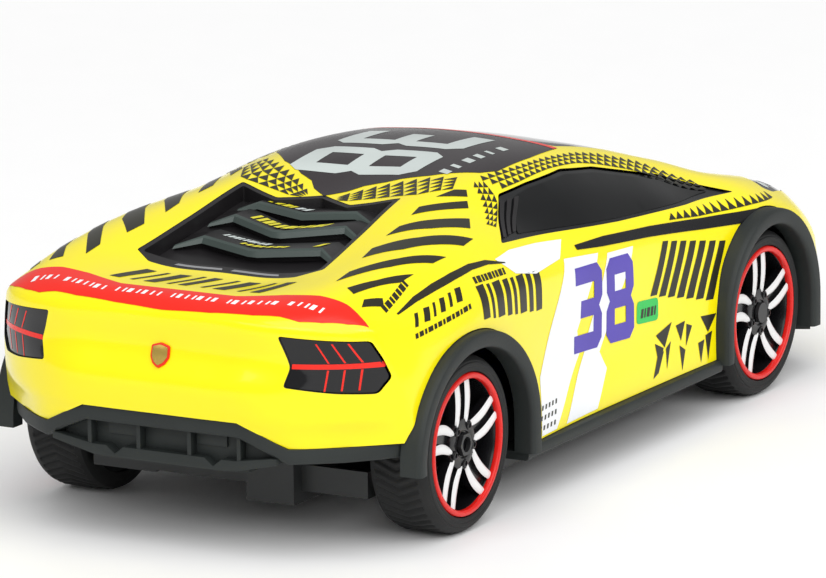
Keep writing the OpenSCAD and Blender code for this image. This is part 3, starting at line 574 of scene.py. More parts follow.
def grown(outline, by):
    """An outline moved outwards by a distance, or inwards when it is negative."""
    pts = [np.array(p, float) for p in outline]
    area = sum(pts[i - 1][0] * pts[i][1] - pts[i][0] * pts[i - 1][1] for i in range(len(pts)))
    turn = 1 if area > 0 else -1
    out = []
    for i, p in enumerate(pts):
        a, b = p - pts[i - 1], pts[(i + 1) % len(pts)] - p
        na = np.array([a[1], -a[0]]) / np.linalg.norm(a) * turn
        nb = np.array([b[1], -b[0]]) / np.linalg.norm(b) * turn
        m = na + nb
        out.append(tuple(p + m * by * 2 / max(0.5, m @ m)))
    return out


def arch(centre, inset, foot=-10, steps=40):
    """Half ellipse over an axle, with straight legs down to foot."""
    x, a = centre
    a, b = a - inset, ARCH_TOP - AXLE_Z - inset
    curve = [(x + a * math.cos(t), AXLE_Z + b * math.sin(t)) for t in np.linspace(0, math.pi, steps + 1)]
    return [(x + a, foot)] + curve + [(x - a, foot)]


# ---- Shell ----
OUTER_GAP = 0.05 * MM   # a face of the shell this near to the block's surface and
OUTER_TURN = 0.7        # turned this much the same way is painted
HALF_LENGTH, HALF_WIDTH = 143, 60


def shell_mesh():
    """The block hollowed out, with its openings cut and its lower edge trimmed."""
    inner = block.copy()
    co = coords(inner) * (1 - WALL / HALF_LENGTH, 1 - WALL / HALF_WIDTH, 1) - (0, 0, WALL * MM)
    inner.vertices.foreach_set("co", co.ravel())
    inner.update()
    # Outline, plane, and the distances along the plane's direction between which it cuts
    cuts = [(rounded(SCREEN, 2.5), TOP, -100, -40), (rounded(BAY, 0.8), TOP, -100, -58),
            (rounded(HEADLAMP, 1.5), TOP, -60, -38), (rounded(flip_side(HEADLAMP), 1.5), TOP, -60, -38)]
    for plane in (SIDE_R, SIDE_L):
        cuts += [(rounded(WINDOW, 1.2), plane, -70, -30), (arch(REAR_ARCH, -0.3), plane, -70, -50),
                 (arch(FRONT_ARCH, -0.3), plane, -70, -50)]
    cuts += [(across(rounded(TAIL_LAMP, 1.0), s), REAR, -150, -112) for s in (1, -1)]
    cuts += [(rect(-150, -80, 150, 80), TOP, -16, 5), (rect(-150, -80, -116, 80), TOP, -30.2, 5),
             (mirrored([(22.7, 36.3), (36, 30), (36, 20)]), REAR, -150, -120)]
    return subtract(block.copy(), [inner] + [prism(*cut) for cut in cuts])


def paint_shell(mesh):
    """Paint outside, bare black inside, and normals taken from the smooth surface."""
    painted(mesh, PAINT).materials.append(INSIDE)
    normals = []
    for poly in mesh.polygons:
        _, n, _, gap = block_tree.find_nearest(poly.center)
        outer = gap < OUTER_GAP and n.dot(poly.normal) > OUTER_TURN
        poly.use_smooth = True
        poly.material_index = 0 if outer else 1
        for v in poly.vertices:
            if outer:
                at, _, tri, _ = block_tree.find_nearest(mesh.vertices[v].co)
                normals.append(smooth_normal(at, tri))
            else:
                normals.append(poly.normal.copy())
    mesh.normals_split_custom_set(normals)


shell = shell_mesh()
paint_shell(shell)
add("shell", shell, PAINT, "body_shell", crease=None)

# ---- Windows and lamps ----
FIT_GAP = 0.3
LENS_INK, HEAD_INK = -0.44, -0.34  # lift of the print on the sunk lenses


def fitted(outline, gap, radius):
    """The outline of a plate that sits in an opening with a gap all round."""
    return rounded(grown(outline, -gap), radius)


pane_edge = rounded(GLASS_PANE, 1.2)
for plane, side in ((SIDE_R, "right"), (SIDE_L, "left")):
    add(f"window_frame_{side}", panel(fitted(WINDOW, FIT_GAP, 1.0), plane, 0.5, 1.6), FRAME,
        f"side_window_{side}")
    add(f"window_pane_{side}", panel(pane_edge, plane, 0.25, 0.4), GLASS)
    for k in range(3):
        x = -49.6 + 3.6 * k
        slat = rounded([(x, 68.6), (x + 2.0, 68.4), (x + 14.6, 74.9), (x + 12.6, 75.0)], 0.4)
        add(f"pillar_slat_{side}_{k}", panel(slat, plane, -0.1, 0.6, 1.5), COVER)
add("screen", panel(fitted(SCREEN, FIT_GAP, 2.2), TOP, 0.3, 1.2, 3), GLASS, "windscreen")

for s, side in ((1, "left"), (-1, "right")):
    lens = panel(across(fitted(TAIL_LAMP, FIT_GAP, 0.8), s), REAR, 0.5, 2.4, 1.6)
    add(f"tail_lens_{side}", lens, LAMP, f"tail_lamp_{side}")
    film(across([(36.8, 50.9), (56.4, 50.8), (56.9, 52.2), (36.9, 52.1)], s), REAR, RED_INK, LENS_INK, 1.6)
    for y in (42.6, 46.2, 49.7):
        for line in ([(y, 57.4), (y + 0.45, 57.4), (y + 3.1, 52.4), (y + 2.65, 52.4)],
                     [(y + 2.5, 50.6), (y + 2.95, 50.6), (y + 2.15, 45.2), (y + 1.75, 45.2)]):
            film(across(line, s), REAR, RED_INK, LENS_INK, 1.6)
    head = [(x, s * y) for x, y in fitted(HEADLAMP, FIT_GAP, 1.2)]
    add(f"head_lens_{side}", panel(head, TOP, 0.4, 1.8, 1.8), LAMP, f"headlamp_{side}")
    for x, y, r in ((117, 41, 2.6), (110, 45.5, 2.3), (103, 48.5, 1.8)):
        disc = [(x + r * math.cos(t), s * y + r * math.sin(t)) for t in np.linspace(0, 2 * math.pi, 25)[:-1]]
        film(disc, TOP, PALE_INK, HEAD_INK, 1.2)

# ---- Engine cover ----
BAY_DEPTH = 4.0
bay_edge = fitted(BAY, 0.25, 0.7)
floor_plate = panel(bay_edge, TOP, BAY_DEPTH, 1.4)
rim_wall = subtract(panel(bay_edge, TOP, 0.1, 4.2), [prism(fitted(BAY, 1.5, 0.7), TOP, -100, -50)])
rear_step = panel([(-109.4, -20.6), (-109.4, 20.6), (-105.2, 25.6), (-105.2, -25.6)], TOP, 0.5, 3.8)
cover = joined([painted(p, COVER) for p in (floor_plate, rim_wall, rear_step)])
add("engine_deck", cover, COVER, "engine_cover")
# Louvres: a bent bar across the bay, its tall rear face in a paler colour that is painted sheen, its top dark
LOUVRE_LINES = [
    (-69.6, [(0, 19.5), (2.4, 14.5), (0, 0), (2.4, -14.5), (0, -19.5)]),
    (-80.0, [(0, 22.0), (3.6, 16.5), (-2.6, 1.5), (-2.6, -1.5), (3.6, -16.5), (0, -22.0)]),
    (-95.2, [(0, 23.5), (4.6, 17.5), (0.4, 1.5), (0.4, -1.5), (4.6, -17.5), (0, -23.5)]),
]
# Section of a louvre: [ahead, lift over the body surface]
LOUVRE_SECTION = [(1.0, -4.1), (0.7, -2.4), (-0.2, -2.2), (0.7, -0.9), (1.5, -0.6), (9.5, -2.5),
                  (10.5, -3.9), (6, -4.2)]
LOUVRE_END = 0.35  # height of a louvre at its two ends


def louvre(x0, line):
    """Bar with a broad dark top that runs forward into the deck; its sloping rear faces, turned back and up,
    get a paler colour as painted sheen.
    """
    verts = []
    for k, (dx, y) in enumerate(line):
        end = LOUVRE_END if k in (0, len(line) - 1) else 1.0
        for sx, depth in LOUVRE_SECTION:
            lift = -BAY_DEPTH + (depth + BAY_DEPTH) * end
            verts.append(laid((x0 + dx + sx, y), TOP, lift)[0])
    mesh = merge(new_mesh("louvre", verts, skin(len(line), len(LOUVRE_SECTION)), 1.0))
    painted(mesh, COVER).materials.append(LOUVRE_SHEEN)
    # faces turned back and up get the painted sheen
    for poly in mesh.polygons:
        if poly.normal.x < -0.35 and poly.normal.z > 0.12:
            poly.material_index = 1
    return mesh


for k, (x0, line) in enumerate(LOUVRE_LINES):
    add(f"louvre_{k}", louvre(x0, line), COVER, crease=25)
for k, (y1, y2) in enumerate(((-15.5, -1.2), (1.2, 15.5))):
    slot = [(-107.9, y1), (-106.7, y1 + 0.6), (-106.7, y2 - 0.6), (-107.9, y2)]
    add(f"deck_slot_{k}", panel(slot, TOP, 0.3, 0.6, 2), CHROME)

# ---- Black mouldings ----
def sweep(frames, section):
    """Sweeps a section of [u, v] through frames of (place, u direction, v direction), in mm."""
    verts = [np.array(place, float) + u * np.array(eu, float) + v * np.array(ev, float)
             for place, eu, ev in frames for u, v in section]
    return merge(new_mesh("sweep", verts, skin(len(frames), len(section))))


FLARE_WIDTH = 4.5
FLARE_SECTION = [(0, 57.5), (0, 61.8), (0.12, 62.7), (0.45, 63.3), (1.0, 63.5), (3.3, 63.3), (4.0, 63.1),
                 (4.4, 62.6), (FLARE_WIDTH, 61.9), (FLARE_WIDTH, 57.5)]
SKIRT_FOOT = 14.5


def flare(centre, side, rear_foot):
    """Rounded lip round a wheel arch."""
    outer, inner = (arch(centre, inset, SKIRT_FOOT, 48) for inset in (0, FLARE_WIDTH))
    for line in (outer, inner):
        line[-1] = (line[-1][0], rear_foot)
    frames = [((ox, 0, oz), (np.array([ix, 0, iz]) - (ox, 0, oz)) / FLARE_WIDTH, (0, side, 0))
              for (ox, oz), (ix, iz) in zip(outer, inner)]
    return sweep(frames, FLARE_SECTION)


SILL_SECTION = [(51, 12.5), (51.3, 12.3), (60.2, 12.3), (60.8, 12.6), (61.1, 13.2), (61.1, 15.1),
                (60.8, 15.6), (60.2, 15.8), (57.5, 15.8), (57.2, 14.5), (51, 14.5)]
SILL_REAR, SILL_FRONT = -59, 52.8
for s, side in ((1, "left"), (-1, "right")):
    sill = sweep([((x, 0, 0), (0, s, 0), (0, 0, 1)) for x in np.linspace(SILL_REAR, SILL_FRONT, 24)],
                 SILL_SECTION)
    parts = [flare(REAR_ARCH, s, 21.6), flare(FRONT_ARCH, s, SKIRT_FOOT), sill]
    add(f"skirt_{side}", joined([painted(p, TRIM) for p in parts]), TRIM, f"side_skirt_{side}", crease=40)

# Lip under the tail: half of its line, from the centre out, with the height of its top edge
LIP_LINE = [(-141.6, 0, 36.2), (-141.6, 12, 36.2), (-141.4, 22.5, 36.2), (-140.6, 29.5, 33.2),
            (-138.9, 35.8, 30.1), (-135.5, 41, 30.1), (-130.5, 47.5, 30.1), (-124, 53.5, 30.1),
            (-117.5, 58.4, 30.1)]
LIP_SECTION = [(0, 0), (0, -3.4), (0.4, -3.9), (1.2, -4.0), (4.0, -4.0), (4.0, 0)]


def lip_frames():
    """Frames along the lip, with the first axis square to its line."""
    full = [(x, -y, z) for x, y, z in LIP_LINE[:0:-1]] + LIP_LINE
    frames = []
    for i, p in enumerate(full):
        along = np.subtract(full[min(len(full) - 1, i + 1)], full[max(0, i - 1)])
        inwards = np.array([along[1], -along[0], 0]) / np.linalg.norm(along[:2])
        frames.append((p, inwards, (0, 0, 1)))
    return frames


add("valance_lip", bevelled(sweep(lip_frames(), LIP_SECTION), 0.25, 50), TRIM, "rear_valance")

panel_line = mirrored([(24, 33.5), (30, 30), (31.5, 25.6), (20.5, 24)])
frame_line = mirrored([(12, 25.9), (14.5, 23.9), (17, 25.9), (21, 25.9), (31.5, 27.6), (33, 27.6), (33, 26),
                       (21, 23.2), (17, 22.9)])
# Outline, plane, near and far end, and the width of the rounded edges
slabs = [(panel_line, REAR, -137.2, -134.6, 0.3), (frame_line, REAR, -140.2, -135.6, 0.25)]
slabs += [(rect(y - 0.6, 23.4, y + 0.6, 33), REAR, -140, -136, 0.25) for y in (-22, -7.5, 7.5, 22)]
slabs += [(rect(-17.5, 28.6, -8.5, 31.8), REAR, -138, -136, 0.25),
          (rect(8.5, 28.6, 17.5, 31.8), REAR, -138, -136, 0.25),
          (rect(-136.6, -23, -123, 23), TOP, -24, -22.2, 0.3)]
diffuser = joined([painted(bevelled(prism(*slab), edge), TRIM) for *slab, edge in slabs])
add("diffuser", diffuser, TRIM, "rear_diffuser")

# Shield badge on the tail
shield = [(-2.6, 53.6), (0, 54.4), (2.6, 53.6), (2.7, 50.6), (1.7, 49), (0, 48), (-1.7, 49), (-2.7, 50.6)]
GOLD = look("badge_gold", (0.72, 0.50, 0.12), 0.25, metal=0.9, grain=2500, bump=0.1)
add("badge_plate", panel(rounded(shield, 0.5), REAR, -0.55, 0.6, 0.9), RED_INK, "rear_badge")
add("badge_field", panel(fitted(shield, 0.45, 0.4), REAR, -0.7, 0.3, 0.9), GOLD)

# ---- Wheels ----
WHEEL_FACE = 60  # where the outer side of the wheels stands


def wheel_part(rows, x, side, ring=False):
    """Mesh over rows of points drawn face on, as seen from outside with depth outwards, put on the car."""
    verts = [(x - side * a, side * (WHEEL_FACE + d), AXLE_Z + b) for row in rows for a, b, d in row]
    return merge(new_mesh("wheel_part", verts, skin(len(rows), len(rows[0]), ring)))


TYRE_PROFILE = [(18.5, -17), (20.4, -17), (21.6, -16.8), (22.5, -16.2), (23.0, -15.0)]
TYRE_SHOULDER = [(23.0, -2.6), (22.75, -1.6), (22.3, -0.9), (21.7, -0.35), (21.3, -0.28), (21.15, -0.06),
                 (20.8, 0.0), (20.3, 0.0), (20.1, -0.12), (19.5, -0.1), (18.95, -0.25), (18.8, -0.6),
                 (18.8, -1.6), (18.5, -1.6)]
TYRE_RADIUS = 23.2
BLOCKS = 54
TREAD_MID, TREAD_HALF, TREAD_DEPTH = -8.8, 6.4, 0.55
CHEVRON = 1.1  # how far a groove runs on from the middle to the edge, in blocks
LAND, GROOVE_WALL = 0.22, 9


def tread(theta, d):
    """Depth of the tread at an angle and a place across the tyre: chevron grooves and a centre rib."""
    off = abs(d - TREAD_MID) / TREAD_HALF
    phase = (theta * BLOCKS / (2 * math.pi) + CHEVRON * off) % 1.0
    groove = max(0.0, min(1.0, (abs(phase - 0.5) - LAND) * GROOVE_WALL))
    return TREAD_DEPTH * groove * min(1.0, 1.6 - 0.9 * off ** 3)


def tyre_mesh(x, side):
    """Tyre with its tread cut into the lanes between the two shoulders."""
    rows = []
    for t in np.arange(BLOCKS * 8) * 2 * math.pi / (BLOCKS * 8):
        profile = TYRE_PROFILE + [(TYRE_RADIUS - tread(t, d), d) for d in np.linspace(-14.6, -3.0, 17)]
        rows.append([(r * math.cos(t), r * math.sin(t), d) for r, d in profile + TYRE_SHOULDER])
    return wheel_part(rows, x, side, True)


def turned(profile, x, side, segments=120):
    """Ring of [radius, depth] points about the wheel's axis."""
    rows = [[(r * math.cos(t), r * math.sin(t), d) for r, d in profile]
            for t in np.arange(segments) * 2 * math.pi / segments]
    return wheel_part(rows, x, side, True)


RIM_PROFILE = [(16.9, -16.4), (18.5, -16.4), (18.5, -1.7), (17.2, -1.7), (16.9, -2.2)]
RING_PROFILE = [(17.0, -1.5), (18.6, -1.5), (18.6, -0.45), (18.45, -0.15), (18.15, 0), (17.5, -0.02),
                (17.15, -0.2), (17.0, -0.5)]
HUB_PROFILE = [(1.9, -9.0), (6.4, -9.0), (7.0, -3.0), (6.5, -1.9), (4.0, -1.4), (3.6, -1.6), (3.5, -2.0),
               (1.9, -2.0)]
PAIR_ANGLES = [95 - 72 * k for k in range(5)]
SPOKE_STEPS, WEB_STEPS = 14, 8
SPOKE_OFFSET = 2.35
SPOKE_BOW = 0.95
# Sections as [across, below the face], the spoke's across in half widths
SPOKE_SECTION = [(-1, 2.6), (-1, 0.35), (-0.6, 0), (0.6, 0), (1, 0.35), (1, 2.6)]
WEB_SECTION = [(-3.2, 2.0), (-3.2, 0), (3.2, 0), (3.2, 2.0)]
# Boss between two pairs of spokes: [radius, depth]
STUD_PROFILE = [(1.2, -3), (1.2, -1.3), (0.95, -1.1), (0.66, -1.1), (0.6, -1.4)]
STUD_PLACE, STUD_SIDES = 5.1, 18


def at_angle(angle, r, v, d):
    """The point r out from the axle, v beside the line at an angle and at depth d."""
    ca, sa = math.cos(math.radians(angle)), math.sin(math.radians(angle))
    return r * ca - v * sa, r * sa + v * ca, d


def spoke_mesh(angle, offset, x, side):
    """One curved spoke: pale face, dark sides, narrow at the hub and bowed clockwise."""
    rows = []
    for t in np.arange(SPOKE_STEPS + 1) / SPOKE_STEPS:
        half = 0.42 + 0.88 * math.sin(math.pi * (0.12 + 0.62 * t)) ** 0.8 if t else 0.4
        mid = -offset - SPOKE_BOW * math.sin(math.pi * t) - math.copysign(0.25, offset) * t
        rows.append([at_angle(angle, 5.2 + 12.0 * t, mid - u * half, -1.75 + 0.8 * t - down)
                     for u, down in SPOKE_SECTION])
    mesh = painted(wheel_part(rows, x, side), RIM)
    mesh.materials.append(SPOKE)
    for poly in mesh.polygons:
        poly.material_index = 1 if poly.normal.y * side > 0.55 and poly.center.y * side > 56 * MM else 0
    return mesh


def web_mesh(angle, x, side):
    """Dark web between the two spokes of a pair, set back from their faces."""
    rows = [[at_angle(angle, 5 + 12.2 * t, u - SPOKE_BOW * math.sin(math.pi * t), -3.0 + 0.6 * t - down)
             for u, down in WEB_SECTION] for t in np.arange(WEB_STEPS + 1) / WEB_STEPS]
    return painted(wheel_part(rows, x, side), RIM)


def stud(angle, x, side):
    """Round boss on the hub."""
    a0, b0, _ = at_angle(angle, STUD_PLACE, 0, 0)
    rows = [[(a0 + r * math.cos(t), b0 + r * math.sin(t), d)
             for t in np.arange(STUD_SIDES) * 2 * math.pi / STUD_SIDES] for r, d in STUD_PROFILE]
    return painted(wheel_part(rows, x, side), RIM)


for end, x in (("rear", REAR_X), ("front", FRONT_X)):
    for side, name in ((1, "left"), (-1, "right")):
        body = "rear_axle" if end == "rear" else f"front_wheel_{name}"
        add(f"{end}_tyre_skin_{name}", tyre_mesh(x, side), RUBBER, f"{end}_tyre_{name}", body, 32)
        add(f"{end}_lip_{name}", turned(RING_PROFILE, x, side), RING, f"{end}_ring_{name}", body, 50)
        parts = [painted(turned(RIM_PROFILE, x, side), RIM), painted(turned(HUB_PROFILE, x, side, 60), RIM)]
        for angle in PAIR_ANGLES:
            parts += [spoke_mesh(angle, offset, x, side) for offset in (SPOKE_OFFSET, -SPOKE_OFFSET)]
            parts += [web_mesh(angle, x, side), stud(angle - 36, x, side)]
        add(f"{end}_wheel_{name}", joined(parts), RIM, f"{end}_rim_{name}", body, 40)

# ---- Printed livery ----
SECOND = 0.16  # lift of a print over another one, in mm
ROOF = [(-57.6, 0), (-54, -5), (-50, -8), (-47, -13), (-44, -16), (-40, -22), (-34, -27), (-29, -31),
        (-23, -33), (-3, -32), (15.5, -30)]
film(ROOF + flip_side(ROOF[:0:-1]), TOP, ROOF_INK, step=2.0)
film(rect(13.6, -30, 16.2, 30), TOP, RED_INK, SECOND)


def three(w, h, t, left=0.0):
    """Outline of the right-hand part of a plain block figure 3, or of an 8 cut off at left."""
    c, m = 0.16 * w, h / 2
    arm = max(left, 0.22 * w)
    return [(left, h), (w - c, h), (w, h - c), (w, m + c), (w - 0.7 * c, m), (w, m - c), (w, c), (w - c, 0),
            (left, 0), (left, t), (w - t, t), (w - t, m - t / 2), (arm, m - t / 2), (arm, m + t / 2),
            (w - t, m + t / 2), (w - t, h - t), (left, h - t)]


def figures(w, h, t, space):
    """Outlines of the number 38, from its lower left corner."""
    eight = three(w, h, t, w / 2)
    shift = w + space
    return [three(w, h, t), [(x + shift, y) for x, y in eight], [(w - x + shift, y) for x, y in eight]]


# Roof number, read from the left side of the car
for outline in figures(21, 36, 6.0, 4.5):
    film([(3 - u + 0.12 * (v - 18), 19 - v) for u, v in outline], TOP, PALE_INK, SECOND, 1.8)
for k, width in enumerate((3.0, 2.0, 3.4, 2.6, 1.6, 3.0)):
    x = -37 + 6.2 * k
    film([(x, -25.5), (x + width, -25.5), (x + width + 0.8, -22.5), (x + 0.8, -22.5)], TOP, PALE_INK, SECOND)

HAUNCH = [
    [(-53, 31), (-45, 32), (-42, 34), (-45, 36)],
    [(-68, 32), (-62, 31), (-47, 37), (-50, 39)],
    [(-83, 33), (-76, 33), (-67, 37), (-55, 42), (-60, 45), (-72, 40)],
    [(-99, 35), (-92, 34), (-80, 41), (-64, 48), (-71, 49), (-80, 46), (-90, 42)],
    [(-116, 37), (-109, 37), (-96, 44), (-82, 50), (-89, 50), (-102, 45)],
    [(-119, 42), (-121, 45), (-106, 50), (-99, 50), (-111, 46)],
    [(-124, 49), (-121, 48), (-116, 50.5), (-118, 52)],
]
for outline in HAUNCH:
    top_films(outline, DARK_INK)


# Long printed lines, drawn as pairs of an upper and a lower point
SWOOSH = [((-116, 62.3), (-115.5, 62)), ((-106, 64.6), (-106, 63.4)), ((-96, 66), (-96, 64.4)),
          ((-86, 66.8), (-86, 65.2)), ((-76, 67.1), (-76, 65.7)), ((-67, 66.4), (-67, 65.3)),
          ((-58, 64.2), (-58, 63.9))]
DOOR_SWOOSH = [((-18, 60.8), (-18, 59.6)), ((-2, 60.2), (-4.4, 58)), ((24.5, 57.9), (22.5, 55.4)),
               ((52, 55), (51, 52.2)), ((69, 53.6), (68, 50.6)), ((84, 52.5), (79, 49.9))]
for pairs, ink, lift in ((SWOOSH, DARK_INK, 0.1), (DOOR_SWOOSH, BLACK_INK, SECOND)):
    side_films([p[0] for p in pairs] + [p[1] for p in pairs[::-1]], ink, lift)


DASH_SLANT = 0.3


def dashes(p, q, height, widths, gap, print_call):
    """A row of short slanted dashes from p to q, with their widths in turn."""
    p, q = np.array(p, float), np.array(q, float)
    length = np.linalg.norm(q - p)
    e = (q - p) / length
    rise = height * (np.array([-e[1], e[0]]) + e * DASH_SLANT)
    at = 0.0
    for w in cycle(widths):
        if at + w > length:
            return
        a, b = p + e * at, p + e * (at + w)
        print_call([tuple(v) for v in (a, b, b + rise, a + rise)])
        at += w + gap


def side_dark(outline):
    side_films(outline, DARK_INK)


dashes((-119, 63.0), (-104, 67.0), 1.3, (1.5, 2.2, 1.2, 1.9), 0.6, side_dark)
dashes((-79, 62.9), (-60, 61.8), 1.5, (1.4, 2.0, 1.1), 0.55, side_dark)
dashes((-113, 55.6), (-86, 58.2), 1.2, (1.2, 1.8, 1.0, 2.2), 0.6, side_dark)
for x, w in ((-112, 1.5), (-107.6, 2.6), (-103, 1.1), (-99.6, 2.2), (-95, 1.3), (-91.4, 2.8)):
    low, high = 58.3 + 0.11 * (x + 112), 61.3 + 0.11 * (x + 112)
    side_dark([(x, low), (x + w, low), (x + w + 2.2, high), (x + 2.2, high)])
for x, w in ((-81, 4.4), (-75.4, 2.0), (-72.2, 4.8), (-66.2, 3.4), (-61.6, 2.2), (-58.2, 4.6), (-52.4, 3.0),
             (-48.2, 4.2)):
    top = 62.2 - 0.085 * (x + 80)
    low = 54.4 - 0.14 * (x + 82)
    side_dark([(x, low), (x + w - 0.6, low - 0.1), (x + w + 0.9, top), (x + 1.2, top + 0.1)])

WHITE_AREAS = [
    [(-62, 65.6), (-52, 66), (-36, 64.6), (-22, 63), (-29, 59.4), (-45, 58.8), (-56, 61)],
    [(-27, 59), (-8, 57), (-15, 49), (-23, 39), (-22, 33), (-40, 16.6), (-49, 16.6), (-48, 32), (-33, 51)],
    [(-3, 56), (12, 55), (9, 51), (-3, 40), (-11, 31), (-8, 26), (-16, 16.8), (-34, 16.6), (-19, 33),
     (-17, 37)],
]
for outline in WHITE_AREAS:
    side_films(outline, WHITE_INK)
# Dotted edges where the white bands run out at the sill
for k in range(7):
    for row in range(3):
        x = -53 + 2.2 * k + 1.0 * row
        z = 18 + 2.6 * row
        side_films([(x - 2, z), (x - 1, z), (x - 0.5, z + 1.2), (x - 1.5, z + 1.2)], DARK_INK, SECOND)
# Door number, readable from each side
for outline in figures(15.5, 22.5, 4.6, 2.6):
    flat = [(u - 16.8 + 0.1 * v, 33.2 + v - 0.06 * u) for u, v in outline]
    film([(u - 8.5, v) for u, v in flat], SIDE_R, BLUE_INK, SECOND)
    film([(-u - 8.5, v) for u, v in flat], SIDE_L, BLUE_INK, SECOND)
side_films(rounded([(11, 40), (23, 39), (22, 33), (10, 34)], 1.5), GREEN_INK)
dashes((12.4, 35.2), (20.6, 34.7), 2.4, (1.3, 0.8, 1.6), 0.6,
       lambda outline: side_films(outline, DARK_INK, SECOND))
for k in range(7):
    x = 29 + 4.75 * k
    z = 53 - 0.85 * k
    low = 40 - 1.1 * k
    side_dark([(x, z), (x + 3, z - 0.4), (x - 6.6, low - 0.3), (x - 10.3, low)])
SHARDS = [
    [(20, 29), (29, 31), (24, 25)], [(19, 27), (23.4, 25), (20, 20)], [(24.6, 24.6), (27.6, 26), (24, 19)],
    [(16, 18), (19.2, 19), (23.4, 24.2), (19.6, 23.4)],
    [(31, 29.6), (36, 30), (33, 25)], [(36.6, 29), (39.4, 28), (35.4, 23)],
    [(32, 24), (35, 22.2), (32.4, 17)], [(44, 29.6), (52, 29), (47.4, 24.6)],
    [(46, 24), (49.6, 24.6), (47, 17)], [(42, 22.6), (45.4, 23), (43, 17)],
]
for outline in SHARDS:
    side_dark(outline)


def divided(line, count):
    """Points at equal steps along a line of points."""
    line = np.array(line, float)
    run = np.concatenate([[0], np.cumsum(np.linalg.norm(np.diff(line, axis=0), axis=1))])
    at = np.linspace(0, run[-1], count + 1)
    return np.stack([np.interp(at, run, line[:, k]) for k in (0, 1)], axis=1)


def scales(film_call, one, other, rows, cols, fill=0.99):
    """Rows of small triangles that fill the strip between two lines, one in each cell."""
    a, b = divided(one, rows), divided(other, rows)
    grid = [[a[r] + (b[r] - a[r]) * c / cols for c in range(cols + 1)] for r in range(rows + 1)]
    for r in range(rows):
        for c in range(cols):
            tri = [grid[r][c + 1], grid[r + 1][c + 1], grid[r + 1][c]]
            mid = sum(tri) / 3
            film_call([tuple(mid + (p - mid) * fill) for p in tri], DARK_INK, 0.13)


scales(top_films, [(-34, 31.6), (-14.5, 33.3), (3.6, 33), (19, 33), (30, 34.4), (46, 37.4), (66, 44.4)],
       [(-31, 38.6), (-22, 38.7), (-3, 37.7), (12, 37.7), (22, 38.6), (36, 40.8), (50, 43.6), (68, 48.6)],
       30, 3)
scales(top_films, [(-37, 32.4), (-42, 38), (-46.5, 41.7), (-51.5, 45)],
       [(-33, 34), (-37, 40.4), (-42, 43.2), (-48.6, 46.3)], 7, 3)
scales(top_films, [(-57.6, 4.2), (-54.8, 6.6), (-48.8, 13), (-45, 18), (-40.8, 23.4), (-37, 28.6)],
       [(-60, 5), (-60.4, 9), (-58.6, 15), (-57.6, 20), (-56.4, 26), (-45, 31.6)], 9, 4)
scales(side_films, [(35, 59), (50, 57.9), (66, 57.2), (77, 56.4), (93, 54.8)],
       [(36, 57.3), (51, 55.6), (66, 54.6), (80, 54), (94, 53)], 15, 1)

# Red band across the tail
BAND_TOP = [(-131.4, 0), (-131.4, 17), (-127.4, 29), (-125.8, 38), (-126, 46), (-127.6, 53.2)]
BAND_LOW = [(-131.2, 49.2), (-134.6, 43.6), (-136.8, 38.2), (-137.2, 33), (-138.6, 26), (-139.6, 14),
            (-139.8, 0)]
half = BAND_TOP + BAND_LOW
film(half + flip_side(half[-2:0:-1]), TOP, RED_INK, 0.12, 1.1)
for k in range(42):
    y = -42 + 2.05 * k
    if k % 8 == 5:
        continue
    x = -136.2 + 3.6 * min(1, max(0, (abs(y) - 20) / 16))
    wide = (0.6, 1.3, 0.6, 0.6, 1.1)[k % 5]
    film([(x, y), (x, y + wide), (x + 2.0, y + wide - 0.3), (x + 2.0, y - 0.3)], TOP, WHITE_INK, 0.18, 1.1)
DECK_SLASHES = [(23.4, 3.0), (17.4, 1.2), (13.4, 3.6), (6.6, 1.2), (3.2, 2.6), (-3.4, 1.2), (-7, 3.6),
                (-14.2, 1.2), (-18, 3.0)]
for y, wide in DECK_SLASHES:
    film([(-126.6, y), (-126.6, y - wide), (-115.4, y - wide - 4.4), (-115.4, y - 4.4)], TOP, DARK_INK)


# Marks on the louvres, which are printed on a top that sinks as it runs forward
MARK_LIFT, MARK_FALL, MARK_START = -0.3, 0.2375, 1.5


def deck_mark(k, outline, ink):
    """A mark printed on the sloping top of a louvre, drawn as [distance ahead of its edge, y]."""
    x0, line = LOUVRE_LINES[k]
    dxs, ys = zip(*line[::-1])

    def edge(y):
        return x0 + float(np.interp(y, ys, dxs))

    film([(edge(y) + d, y) for d, y in outline], TOP, ink,
         lambda p: MARK_LIFT - MARK_FALL * (p[0] - edge(p[1]) - MARK_START), 1.4)


# Louvre, the two ends of the marks ahead of its edge, first y, number of marks and their pitch
MARK_ROWS = [(1, 3.0, 7.4, 12.0, 10, 2.3), (0, 2.4, 5.2, 12.5, 6, 2.2), (2, 5.4, 7.4, 14.0, 9, 1.7),
             (2, 2.6, 4.2, 6.0, 7, 2.0), (2, 3.0, 6.6, -14.2, 1, 3.4)]
for k, low, high, y0, count, pitch in MARK_ROWS:
    for n in range(count):
        y = y0 - n * pitch
        wide = pitch * (0.55 + 0.25 * ((n * 7) % 3) / 2)
        ink = PALE_INK if (k == 2 and high > 7) or (k == 0 and n > 3) else YELLOW_INK
        deck_mark(k, [(low, y), (low, y - wide), (high, y - wide - 0.9), (high, y - 0.9)], ink)

# Intakes and lamps of the nose
for s in (1, -1):
    film(across([(14, 18), (36, 18.5), (44, 22), (40, 28), (22, 27), (13, 24)], s), FRONT, BLACK_INK)
film([(-10, 18), (10, 18), (8, 24), (-8, 24)], FRONT, BLACK_INK)

for name, (mat, verts, faces, norms) in INK.items():
    mesh = bpy.data.meshes.new(name)
    mesh.from_pydata(verts, [], faces)
    mesh.shade_smooth()
    mesh.normals_split_custom_set_from_vertices(norms)
    add(f"print_{name[4:]}", mesh, mat, crease=None)

